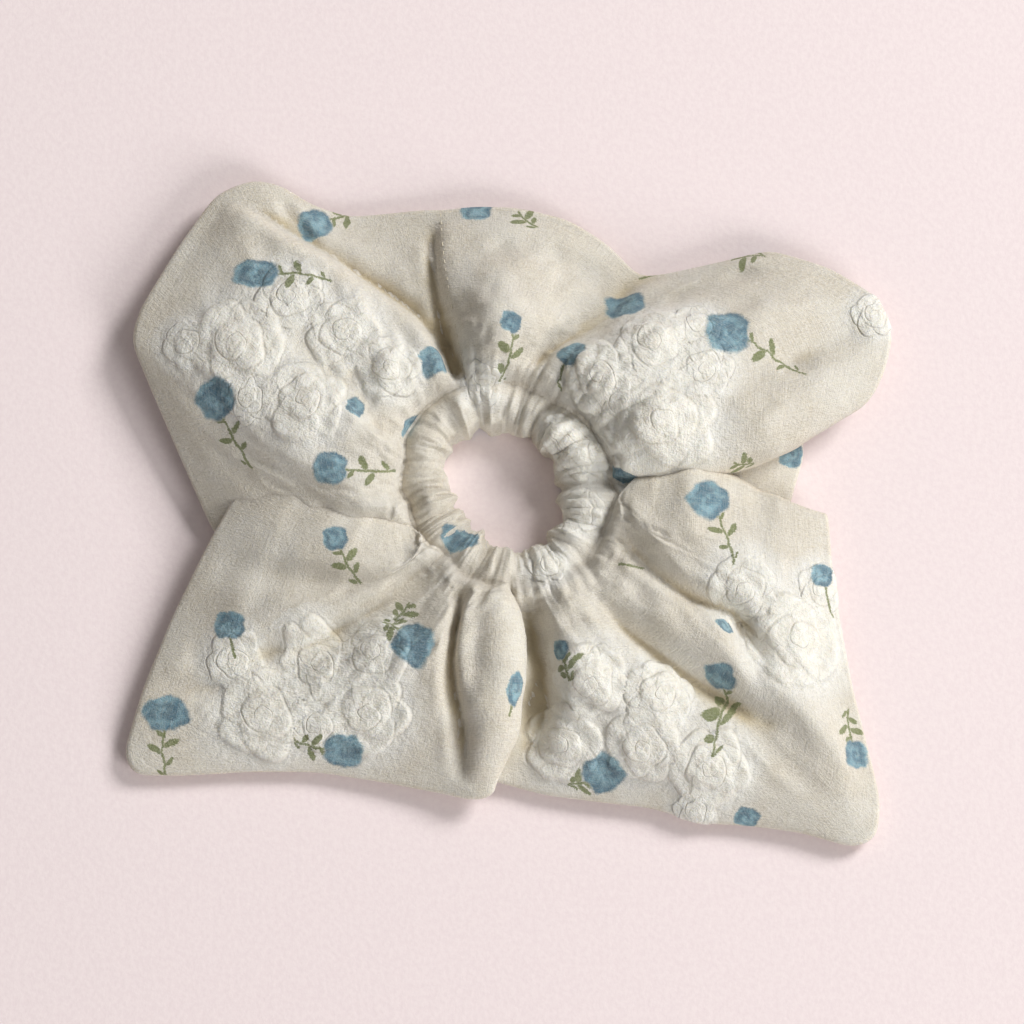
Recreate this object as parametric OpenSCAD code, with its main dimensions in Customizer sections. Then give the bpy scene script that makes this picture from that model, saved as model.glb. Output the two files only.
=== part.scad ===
// Oversized scrunchie: a cloth sleeve gathered round a loop of flat elastic.
// The sleeve is one tube of cloth. Its inner edge is stitched into a casing that
// holds the elastic, and the rest of it is a loose ruffle with two layers.
// The origin is the middle of the hair opening, whose axis is +Z, and the scrunchie
// lies on the plane z = -casing_h / 2.
// The right half slides away along +X as the elastic stretches, so the cloth is
// two solids that part on the plane x = 0.

/* [Hair opening and casing] */
// Radius of the hair opening with the elastic relaxed
opening_r = 15.5; // [13:0.5:18]
// Radial width of the gathered casing
casing_w = 9.5; // [9:0.5:12]
// Height of the gathered casing
casing_h = 9; // [8.5:0.5:11]
// Corner radius of the casing's section
casing_round = 2; // [1.4:0.1:3.4]
// Thickness of the bunched cloth round the elastic's channel
casing_wall = 1.2; // [0.8:0.1:1.2]

/* [Elastic] */
// Width of the flat elastic, which stands on edge in the casing
elastic_w = 6; // [4:0.5:6]
// Thickness of the flat elastic
elastic_t = 0.9; // [0.6:0.1:1.2]
// Length by which the elastic's two ends overlap
elastic_overlap = 12; // [8:1:20]

/* [Threads] */
// Diameter of the sewing thread
thread_d = 0.34; // [0.2:0.02:0.4]
// Number of stitches round the casing seam
casing_stitches_n = 44; // [36:4:60]
// Number of stitches that close the sleeve's end
closing_stitches_n = 14; // [10:1:18]

/* [Ruffle] */
// Height by which the fullest fold of the ruffle rises above its two edges
ruffle_loft = 18; // [12:1:24]
// Thickness of the ruffle at its outer folded edge
ruffle_edge_h = 4; // [2:0.5:6]
// Space between the casing and the ruffle, which the casing stitches fill
seam_gap = 0.7; // [0.6:0.1:1]

/* [Hidden] */
$fn = 64;

// Clearance between the two halves, as an angle at the casing and a distance at the ruffle.
part_angle = 0.8;
part_gap = 0.35;

casing_r = opening_r + casing_w;
rest_z = -casing_h / 2;
elastic_r = opening_r + casing_w / 2;
channel_r1 = opening_r + casing_wall;
channel_r2 = casing_r - casing_wall;
channel_h = casing_h - 2 * casing_wall;
seam_r = casing_r + seam_gap / 2;
ruffle_r = casing_r + seam_gap;

// Height of the neck, where the casing seam pinches the two layers together.
neck_h = 3;
// Share of the ruffle's width over which its underside comes down from the neck.
underside_lift = 0.16;

// Outer edge of each half of the ruffle, from the top of the opening round to its
// bottom: x, y, and the loft there as a share of ruffle_loft. Folds that lie over each
// other are full, and the valleys between them are low.
left_edge = [
    [-part_gap, 75, 0.85], [-16, 76, 0.5], [-30, 73, 0.7], [-44, 74, 0.75], [-58, 79, 0.75],
    [-67, 82, 0.7], [-73, 78, 0.7], [-85, 60, 0.8], [-97, 43, 0.75], [-97, 37, 0.75],
    [-87, 14, 0.75], [-76, -8, 0.95], [-72, -14, 1], [-80, -33, 0.85], [-89, -53, 0.7],
    [-97, -69, 0.6], [-96, -73, 0.6], [-60, -74, 0.65], [-37, -72, 0.6], [-20, -77, 0.7],
    [-4, -80, 0.95], [-part_gap, -79, 0.95]
];
right_edge = [
    [part_gap, 75, 0.85], [11, 74, 0.9], [23, 70, 0.9], [36, 58, 0.5], [52, 60, 0.65],
    [70, 64, 0.75], [86, 58, 0.8], [101, 47, 0.75], [102, 41, 0.75], [97, 24, 0.85],
    [79, 6, 0.75], [78, -2, 0.8], [84, -5, 0.8], [88, -22, 0.7], [91, -45, 0.8],
    [97, -78, 0.6], [97, -86, 0.55], [91, -92, 0.5], [85, -91, 0.5], [52, -85, 0.75],
    [25, -82, 0.65], [part_gap, -79, 0.95]
];
// Points put between two given points of an edge.
edge_steps = 3;
// Points across the top and the underside of the ruffle's section.
top_steps = 12;
under_steps = 5;

function lerp(a, b, t) = a + (b - a) * t;

// A point between b and c on a tight curve through a, b, c and d.
tension = 0.3;
function curve(a, b, c, d, t) =
    let (m = (c - a) * tension, n = (d - b) * tension)
    b * (2 * t ^ 3 - 3 * t ^ 2 + 1) + m * (t ^ 3 - 2 * t ^ 2 + t)
        + c * (3 * t ^ 2 - 2 * t ^ 3) + n * (t ^ 3 - t ^ 2);

function smooth_edge(e) = [
    for (i = [0 : len(e) - 2])
        for (k = [0 : edge_steps - 1])
            curve(e[max(i - 1, 0)], e[i], e[i + 1], e[min(i + 2, len(e) - 1)], k / edge_steps),
    e[len(e) - 1]
];

// The point where the section that ends at p starts, on the ruffle's inner radius. The
// two end sections stay on their own side of the plane between the halves.
function root_of(p) =
    abs(p.x) <= part_gap
        ? [p.x, sign(p.y) * sqrt(ruffle_r ^ 2 - p.x ^ 2)]
        : ruffle_r * [p.x, p.y] / norm([p.x, p.y]);

// Height of the ruffle's top and of its underside, at share f of its width.
function top_z(f, loft) =
    lerp(neck_h / 2, rest_z + ruffle_edge_h, f) + loft * sin(180 * f ^ 0.85) ^ 0.8;
function under_z(f) =
    f >= underside_lift ? rest_z : lerp(rest_z, -neck_h / 2, (1 - f / underside_lift) ^ 2);

// A share of the width that steps closely at both ends, where the section bends most.
function share(k, n) = (1 - cos(180 * k / n)) / 2;

function section(p) =
    let (root = root_of(p), loft = ruffle_loft * p[2])
    concat(
        [for (k = [0 : top_steps]) let (f = share(k, top_steps))
            [lerp(root.x, p.x, f), lerp(root.y, p.y, f), top_z(f, loft)]],
        [for (k = [under_steps : -1 : 0]) let (f = share(k, under_steps))
            [lerp(root.x, p.x, f), lerp(root.y, p.y, f), under_z(f)]]
    );

// A closed solid through sections that all have the same number of points.
module loft(sections) {
    n = len(sections[0]);
    last = len(sections) - 1;
    points = [for (s = sections) for (p = s) p];
    sides = [
        for (i = [0 : last - 1])
            for (k = [0 : n - 1])
                [i * n + k, i * n + (k + 1) % n, (i + 1) * n + (k + 1) % n, (i + 1) * n + k]
    ];
    ends = [[for (k = [n - 1 : -1 : 0]) k], [for (k = [0 : n - 1]) last * n + k]];
    polyhedron(points = points, faces = concat(sides, ends), convexity = 6);
}

module ruffle_left() {
    color("linen")
        mirror([1, 0, 0])
            loft([for (p = smooth_edge(left_edge)) section([-p.x, p.y, p[2]])]);
}

module ruffle_right() {
    color("linen")
        loft([for (p = smooth_edge(right_edge)) section(p)]);
}

// A rectangle with true round corners, from radius r1 to radius r2 and h high.
module rounded_section(r1, r2, h, corner) {
    translate([r1 + corner, -h / 2])
        square([r2 - r1 - 2 * corner, h]);
    translate([r1, corner - h / 2])
        square([r2 - r1, h - 2 * corner]);
    for (x = [r1 + corner, r2 - corner])
        for (y = [corner - h / 2, h / 2 - corner])
            translate([x, y])
                circle(corner);
}

// Half of the gathered tube round the elastic, centred on the direction given.
module casing_half(direction) {
    color("oldlace")
        rotate(direction - 90 + part_angle)
            rotate_extrude(angle = 180 - 2 * part_angle)
                difference() {
                    rounded_section(opening_r, casing_r, casing_h, casing_round);
                    rounded_section(
                        channel_r1, channel_r2, channel_h, casing_round - casing_wall
                    );
                }
}

// The elastic's loop, with its outer end lying over the inner one on the -X side.
module elastic_band() {
    overlap_angle = elastic_overlap / elastic_r * 180 / PI;
    color("white") {
        rotate_extrude()
            translate([elastic_r - elastic_t / 2, -elastic_w / 2])
                square([elastic_t, elastic_w]);
        rotate(180 - overlap_angle / 2)
            rotate_extrude(angle = overlap_angle)
                translate([elastic_r + elastic_t / 2, -elastic_w / 2])
                    square([elastic_t, elastic_w]);
    }
}

// Two columns of thread that cross the overlap, each a ladder of stitches through both
// layers of the elastic.
module elastic_join_stitches() {
    rows = 5;
    columns = 2;
    column_angle = 14;
    row_pitch = 1.1;
    // Thread lying on the elastic's inner and outer faces, half sunk into them.
    inner_r = elastic_r - elastic_t / 2;
    outer_r = elastic_r + elastic_t * 3 / 2;
    color("whitesmoke")
        for (c = [0 : columns - 1])
            rotate(180 + column_angle * (c - (columns - 1) / 2)) {
                for (k = [0 : rows - 1])
                    translate([inner_r, 0, row_pitch * (k - (rows - 1) / 2)])
                        rotate([0, 90, 0])
                            cylinder(d = thread_d, h = outer_r - inner_r);
                for (r = [inner_r, outer_r])
                    translate([r, 0, -row_pitch * (rows - 1) / 2])
                        cylinder(d = thread_d, h = row_pitch * (rows - 1));
            }
}

// The lockstitch between the casing and the ruffle: dashes above and below the pinched
// layers, joined by thread that goes down between them.
module casing_stitches() {
    pitch = 360 / casing_stitches_n;
    dash = seam_r * PI / 180 * pitch * 0.7;
    color("ivory")
        for (i = [0 : casing_stitches_n - 1])
            rotate(i * pitch)
                translate([seam_r, 0, 0]) {
                    for (z = [-neck_h / 2, neck_h / 2])
                        translate([0, -dash / 2, z])
                            rotate([-90, 0, 0])
                                cylinder(d = thread_d, h = dash);
                    translate([0, 0, -neck_h / 2])
                        cylinder(d = thread_d, h = neck_h);
                }
}

// The sleeve's long seam, turned to the inside of the casing on the hair side.
module long_seam_thread() {
    seam_inset = 0.4;
    seam_drop = 1.5;
    color("ivory")
        rotate_extrude()
            translate([channel_r1 + seam_inset + thread_d / 2, -seam_drop])
                circle(d = thread_d);
}

// The row of slip stitches where one end of the sleeve is tucked into the other.
closing_edge_point = 1;
module closing_stitches() {
    p = left_edge[closing_edge_point];
    root = root_of(p);
    loft = ruffle_loft * p[2];
    first = 0.06;
    last = 0.94;
    stitch_share = 0.6;
    function at(f) = [lerp(root.x, p.x, f), lerp(root.y, p.y, f), top_z(f, loft) + thread_d / 4];
    color("ivory")
        for (i = [0 : closing_stitches_n - 1]) {
            f = lerp(first, last, i / closing_stitches_n);
            a = at(f);
            b = at(f + (last - first) / closing_stitches_n * stitch_share);
            d = b - a;
            translate(a)
                rotate([0, acos(d.z / norm(d)), atan2(d.y, d.x)])
                    cylinder(d = thread_d, h = norm(d));
        }
}

ruffle_left();
ruffle_right();
casing_half(180);  // casing_left
casing_half(0);  // casing_right
elastic_band();
elastic_join_stitches();
casing_stitches();
long_seam_thread();
closing_stitches();
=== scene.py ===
"""An oversized scrunchie of printed ivory cloth with white roses in relief.

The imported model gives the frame: its bodies, the hair opening's place and the table's
height. This script sews the looks round it: one cloth sleeve, gathered in a casing round
a braided elastic, and the threads that hold them together. Sizes are in millimetres until
a mesh is made.
"""

from __future__ import annotations

import logging
import math
from dataclasses import dataclass
from enum import Enum
from typing import Callable, Sequence

import bpy
import numpy as np
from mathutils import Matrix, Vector
from mathutils.bvhtree import BVHTree

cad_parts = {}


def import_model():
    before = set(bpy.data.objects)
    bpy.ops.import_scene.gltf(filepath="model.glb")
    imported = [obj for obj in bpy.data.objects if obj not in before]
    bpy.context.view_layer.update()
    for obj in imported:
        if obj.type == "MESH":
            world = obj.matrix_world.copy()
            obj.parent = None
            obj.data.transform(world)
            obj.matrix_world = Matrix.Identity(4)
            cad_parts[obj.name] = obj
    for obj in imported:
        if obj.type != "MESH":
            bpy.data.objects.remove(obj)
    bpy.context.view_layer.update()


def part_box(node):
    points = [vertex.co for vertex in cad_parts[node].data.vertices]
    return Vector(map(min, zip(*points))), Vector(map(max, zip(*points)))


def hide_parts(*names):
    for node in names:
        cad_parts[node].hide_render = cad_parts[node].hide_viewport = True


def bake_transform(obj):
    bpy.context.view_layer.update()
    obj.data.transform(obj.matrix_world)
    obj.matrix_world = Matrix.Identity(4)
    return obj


LOG = logging.getLogger("scrunchie")
MM = 0.001
Array = np.ndarray


class Slot(Enum):
    """The record's material slots."""

    CLOTH = "printed_cloth"
    ELASTIC = "elastic_braid"
    THREAD = "sewing_thread"


# ---------------------------------------------------------------------------------------
# Numbers along closed curves
# ---------------------------------------------------------------------------------------


def smooth_round(values: Array, width: float) -> Array:
    """Smooths values that run round a closed loop.

    Args:
        values: One row per step of the loop.
        width: Standard deviation of the smoothing, in steps.

    Returns:
        The smoothed values, in the same shape.
    """
    if width <= 0:
        return values
    n = len(values)
    steps = np.minimum(np.arange(n), n - np.arange(n))
    kernel = np.exp(-0.5 * (steps / width) ** 2)
    kernel /= kernel.sum()
    spectrum = np.fft.rfft(kernel)
    shape = (-1,) + (1,) * (values.ndim - 1)
    return np.fft.irfft(np.fft.rfft(values, axis=0) * spectrum.reshape(shape), n, axis=0)


def smoothstep(low: float, high: float, x: Array) -> Array:
    """Rises smoothly from 0 at low to 1 at high."""
    t = np.clip((x - low) / (high - low), 0.0, 1.0)
    return t * t * (3.0 - 2.0 * t)


def soften(line: Array) -> Array:
    """Cuts the corners off an open line."""
    cut = np.stack([0.75 * line[:-1] + 0.25 * line[1:], 0.25 * line[:-1] + 0.75 * line[1:]], 1)
    return np.concatenate([line[:1], cut.reshape(-1, 2)[1:-1], line[-1:]])


def unit(v: Array) -> Array:
    """The vectors along the last axis, at length 1."""
    return v / np.maximum(np.linalg.norm(v, axis=-1, keepdims=True), 1e-9)


class Crumple:
    """Seeded wrinkles that close up round the ring."""

    def __init__(self, seed: int) -> None:
        """Starts the wrinkles' own random numbers."""
        self.rng = np.random.default_rng(seed)

    def puffs(self, u: Array, count: int, uneven: float = 0.45, power: float = 2.4) -> Array:
        """Rounded puffs with sharp creases between them.

        Args:
            u: Place round the ring, where 1 is a full turn.
            count: Puffs in a turn.
            uneven: How much the puffs' widths differ, from 0 to 1.
            power: Roundness of a puff's top.

        Returns:
            Heights from 0 at a crease to about 1 on the fullest puffs.
        """
        widths = 1.0 + uneven * self.rng.uniform(-1, 1, count)
        knots = np.concatenate([[0.0], np.cumsum(widths) / widths.sum()])
        height = self.rng.uniform(0.6, 1.0, count) * np.minimum(1, widths**1.2)
        u = np.mod(u, 1.0)
        i = np.clip(np.searchsorted(knots, u, side="right") - 1, 0, count - 1)
        x = (u - knots[i]) / (knots[i + 1] - knots[i])
        return height[i] * (1.0 - np.abs(2.0 * x - 1.0) ** power)

    def drift(self, u: Array, v: Array, across: int, along: int) -> Array:
        """Smooth noise that repeats round u and doesn't along v.

        Args:
            u: Place round the ring, where 1 is a full turn.
            v: Place across the cloth, from 0 to 1.
            across: Cells in a turn of u.
            along: Cells from v = 0 to v = 1.

        Returns:
            Values from -1 to 1.
        """
        grid = self.rng.uniform(-1, 1, (across, along + 2))
        a = np.mod(u, 1.0) * across
        b = np.clip(v, 0.0, 1.0) * along
        i, j = np.floor(a).astype(int), np.floor(b).astype(int)
        s, t = a - i, b - j
        s, t = s * s * (3 - 2 * s), t * t * (3 - 2 * t)
        i0, i1 = i % across, (i + 1) % across
        low = grid[i0, j] * (1 - s) + grid[i1, j] * s
        high = grid[i0, j + 1] * (1 - s) + grid[i1, j + 1] * s
        return low * (1 - t) + high * t


# ---------------------------------------------------------------------------------------
# The ring that everything is gathered on
# ---------------------------------------------------------------------------------------


@dataclass(frozen=True)
class Ring:
    """The casing's centre line, a soft four-sided loop round the hair opening."""

    # Direction from the opening's middle, in degrees, and the radius there.
    radii: tuple[tuple[float, float], ...] = (
        (0, 20.2), (35, 20.8), (70, 21.4), (100, 22.9), (128, 24.4), (142, 24.4),
        (165, 21.2), (190, 19.6), (215, 18.8), (250, 19.8), (285, 22.3), (315, 23.8),
        (340, 21.8),
    )  # fmt: skip

    # How far the casing reaches outwards, and how high its seam stands.
    widths: tuple[tuple[float, float], ...] = (
        (0, 7.6), (50, 7.0), (90, 6.0), (150, 5.6), (190, 5.0), (240, 4.4), (300, 4.4), (330, 6.0),
    )  # fmt: skip
    necks: tuple[tuple[float, float], ...] = (
        (0, 3.6), (35, 3.8), (60, 5.2), (90, 6.6), (120, 4.6), (150, 2.4), (180, 1.6), (205, 2.6),
        (235, 5.6), (270, 6.6), (305, 5.6), (335, 4.2),
    )  # fmt: skip

    def around(self, table: Sequence[tuple[float, float]], degrees: Array) -> Array:
        """A table's values in each direction, smoothed round the ring."""
        pairs = np.array(table)
        fine = np.interp(np.arange(360), pairs[:, 0], pairs[:, 1], period=360)
        fine = smooth_round(fine, 9)
        return np.interp(np.mod(degrees, 360), np.arange(360), fine, period=360)

    def radius(self, degrees: Array) -> Array:
        """Radius of the centre line in each direction."""
        return self.around(self.radii, degrees)

    def point(self, degrees: Array) -> Array:
        """Points of the centre line, as x and y."""
        a, r = np.radians(degrees), self.radius(degrees)
        return np.stack([r * np.cos(a), r * np.sin(a)], -1)

    def outward(self, degrees: Array) -> Array:
        """Unit vectors that point away from the opening, square to the centre line."""
        d = self.point(degrees + 0.5) - self.point(degrees - 0.5)
        return unit(np.stack([d[..., 1], -d[..., 0]], -1))


# ---------------------------------------------------------------------------------------
# The cloth sleeve
# ---------------------------------------------------------------------------------------


@dataclass(frozen=True)
class Rib:
    """A line of the ruffle from the casing seam out to its folded edge.

    root is the seam's direction in degrees, x and y place the outer fold, edge and middle
    are the lower layer's heights above the table, and loft is how far the layers part.
    """

    root: float
    x: float
    y: float
    edge: float
    middle: float
    loft: float


@dataclass(frozen=True)
class Stroke:
    """A ridge or groove pressed into the ruffle's upper layer along a line.

    height is negative for a groove. step raises the side on the line's left, so that the
    line is the foot of a fold, and fade is how far that rise reaches.
    """

    line: tuple[tuple[float, float], ...]
    height: float = 0.0
    width: float = 4.0
    step: float = 0.0
    fade: float = 14.0


@dataclass(frozen=True)
class Rose:
    """A white rose in relief, by its place in plan, radius and height."""

    x: float
    y: float
    radius: float
    height: float = 2.2
    turn: float = 0.0


RIBS: tuple[Rib, ...] = tuple(
    Rib(*r)
    for r in (
        # Top, from the closing seam to the valley beside the right-hand lobe
        (110, -16.5, 75, 4.5, 2.5, 8), (104, -8, 76, 5.5, 3, 14), (97, 4, 75.5, 6, 3.5, 18),
        (89, 17, 72.5, 5.5, 3.5, 17), (81, 27.5, 66, 4.5, 3, 13), (74, 35.5, 57.5, 3, 2.5, 7),
        # Upper right lobe, to the fold on its lower side
        (69, 43, 58.5, 3.5, 3, 9), (62, 55, 61, 4.5, 3, 12), (53, 70, 64.5, 5.5, 3.5, 16),
        (44, 85.5, 59.5, 6.5, 4, 16), (35, 98, 51.5, 7.5, 5, 15), (27, 102, 41, 8.5, 6, 15),
        (18, 99.5, 30.5, 9.5, 8, 14), (9, 95.5, 22.5, 10, 9, 11), (5, 87, 20, 8, 7.5, 4),
        # The layer that shows between the two right-hand lobes
        (2, 77, 18, 5, 5, 3.5), (0, 79, 10.5, 3, 3, 4.5), (-3, 76.5, 3, 2.5, 2.5, 5),
        (-5, 74.5, -4, 3, 2.5, 4.5), (-6, 73, -13, 4.5, 4, 3.5), (-7, 79, -14, 6.5, 6, 3.5),
        # Lower right lobe
        (-8, 84.5, -4.5, 8.5, 8, 9), (-14, 85.5, -18, 6, 6, 14), (-21, 87.6, -33.5, 5, 4, 15),
        (-28, 91, -52, 4.5, 3.5, 13), (-34, 95.5, -70, 4, 3, 11), (-39, 98, -81, 3.5, 3, 9),
        (-43, 97, -91, 3.5, 3, 8), (-47, 91, -93.5, 3.5, 3, 8), (-52, 77.5, -89.5, 3.5, 3, 11),
        (-58, 63, -87.5, 3, 3, 13), (-64, 51.5, -87, 3, 3, 13), (-70, 38.5, -83, 3.5, 3, 12),
        (-76, 25.5, -81.5, 3.5, 3, 11), (-81, 11, -79.5, 3, 3, 9), (-84, 2, -77, 2.5, 2.5, 4.5),
        # The pleat at the bottom
        (-85, -6, -75, 5, 5, 3.5), (-86, -1.5, -80, 7, 7, 7), (-91, -7, -81.5, 6.5, 6.5, 10),
        # Lower left lobe, to the fold that lies over the upper one
        (-98, -17, -79, 4.5, 4, 12), (-104, -32, -76, 3.5, 3, 12), (-111, -48, -73.5, 3, 3, 12),
        (-118, -66, -73.5, 3, 3, 11), (-124, -82, -74.5, 3, 3, 9), (-129, -96, -74.5, 3, 3, 7),
        (-132, -98.5, -69, 3.5, 3, 7), (-137, -93.5, -52, 4.5, 4, 11), (-142, -86, -33.5, 5.5, 5, 13),
        (-147, -76.5, -14, 7.5, 7, 12), (-151, -69, -1, 9.5, 9, 9), (-153, -64, 5, 10.5, 10, 6),
        (-154, -60, 6, 10.5, 10, 5), (-155, -58, -4, 8, 8, 3.5), (-156, -62, -22, 5, 5, 3.5),
        # Upper left lobe
        (-158, -70, -18, 3, 3, 4), (-165, -76, -9.5, 3.5, 3, 9), (-173, -83, 6, 5.5, 4, 12),
        (-182, -91, 24, 7.5, 5, 14), (-190, -97.5, 39.5, 8.5, 6, 14), (-196, -95, 48, 8.5, 6, 14),
        (-204, -84.5, 66, 7.5, 5, 14), (-211, -75.5, 79, 6.5, 4, 13), (-217, -66, 83, 6.5, 4, 12),
        (-222, -58, 81.5, 5.5, 4, 11), (-228, -51.5, 77, 4.5, 3, 9), (-234, -41, 73.5, 3.5, 3, 6.5),
        (-241, -29.5, 74.5, 3.5, 3, 6.5), (-246, -20, 75.5, 4, 2.5, 7),
    )
)  # fmt: skip

STROKES: tuple[Stroke, ...] = (
    # Upper left: the body of the lobe stands above the band beside the closing seam.
    Stroke(((-12.5, 28), (-19, 41), (-26, 49.5), (-46, 62), (-59, 70), (-70, 77)), -3.4, 2.6, 5.6, 15),
    Stroke(((-59, 80), (-55.5, 71.5), (-50, 66)), -2.4, 2.0),
    # The closing seam's crease, where the top fold begins.
    Stroke(((-16.5, 75), (-18.3, 64), (-17, 50), (-15.7, 40), (-11, 30)), -2.0, 2.4, 3.2, 12),
    Stroke(((-15.5, 46), (-13.5, 38), (-12, 31), (-10.5, 25)), -6.5, 2.6),
    Stroke(((-5, 63), (5, 64.5), (13, 63), (26, 54.5)), -2.2, 4.0),
    # Between the top fold and the upper right lobe.
    Stroke(((34, 56), (29, 43.5), (13, 35.5), (3.5, 26)), -2.4, 3.2, 1.8, 10),
    Stroke(((40, 47.5), (53, 52.5), (69, 60.5)), -2.8, 4.2),
    Stroke(((99, 45), (81, 37), (71, 29)), -2.4, 5.5),
    # Lower right: a long soft fold from the casing to the corner, and its two grooves.
    Stroke(((29.5, -6.5), (33.5, -17), (48.5, -29.5), (60, -31.5), (65, -41.5), (67.5, -47.5)), -6.2, 3.4),
    Stroke(((20.5, -27.5), (41, -35.5), (60, -46.5), (83, -63), (94.5, -82.5)), 4.2, 6.5),
    Stroke(((20.5, -26.5), (29.5, -35.5), (48.5, -50), (68, -61.5)), -3.8, 2.6),
    # The valley beside the pleat, and the pleat's crest.
    Stroke(((6.0, -24), (8.5, -40), (10.5, -52), (8.5, -66)), -9.5, 4.4),
    Stroke(((0.0, -22), (-0.5, -48), (-4.5, -73)), 3.6, 3.8),
    Stroke(((-10.2, -22), (-10.8, -40), (-11.4, -52), (-9.6, -62), (-10.5, -76)), -6.5, 2.4),
    Stroke(((-4.5, -24), (-4, -40), (-6, -56)), -1.6, 1.6),
    # Lower left: folds that fan from the casing.
    Stroke(((-14.5, -13.5), (-29, -9.5), (-39.5, -7)), -2.2, 3.2),
    Stroke(((-13, -18), (-32.5, -23), (-53.5, -23), (-72.5, -20.5)), -3.2, 4.6),
    Stroke(((-15, -21.5), (-32.5, -30), (-46.5, -38), (-60.5, -42), (-79.5, -42.5)), -2.8, 3.4, -1.4, 12),
    Stroke(((-95, -51.5), (-70.5, -51.5)), -1.6, 2.6),
)

ROSES: tuple[Rose, ...] = (
    Rose(-70, 38, 12.5, 2.4, 20), Rose(-53, 22, 11, 2.2, 140), Rose(-41, 41, 10, 2.2, 250),
    Rose(-29.5, 31, 8.5, 1.8, 60), Rose(-56, 51, 9, 1.5, 300), Rose(-83, 38, 6.5, 1.4, 90),
    Rose(-66, 23, 6.5, 1.2, 10),
    Rose(25.5, 28, 9.5, 2.4, 200), Rose(41.5, 15.5, 15, 2.6, 75), Rose(39.5, 37.5, 10, 2.0, 310),
    Rose(31, 21, 7, 1.8, 0), Rose(53, 29, 8, 1.4, 120), Rose(51, 42, 6.5, 1.2, 30),
    Rose(-63, -59.5, 12, 2.2, 35), Rose(-48, -47, 10, 2.0, 190), Rose(-34, -44, 9.5, 2.0, 280),
    Rose(-36, -59, 11.5, 2.2, 100), Rose(-70, -45, 7.5, 1.4, 240), Rose(-50, -63, 7, 1.4, 330),
    Rose(98, 45.5, 6, 1.2), Rose(49, -84, 5.5, 1.2),
    Rose(18.5, 11, 6.5, 1.6), Rose(20, -6.5, 6, 1.4), Rose(-5, 28, 5.5, 1.2), Rose(12, -21, 5, 1.2),
    Rose(23, -53, 9.5, 2.2, 15), Rose(40, -55.5, 9.5, 2.0, 130), Rose(14.5, -67.5, 10.5, 2.2, 260),
    Rose(36, -68.5, 10, 2.0, 50), Rose(53, -74, 10.5, 2.2, 170), Rose(77.5, -41.5, 12.5, 2.6, 220),
    Rose(63, -28, 9, 1.6, 80), Rose(83, -27, 7, 1.4, 340),
)  # fmt: skip


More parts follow.
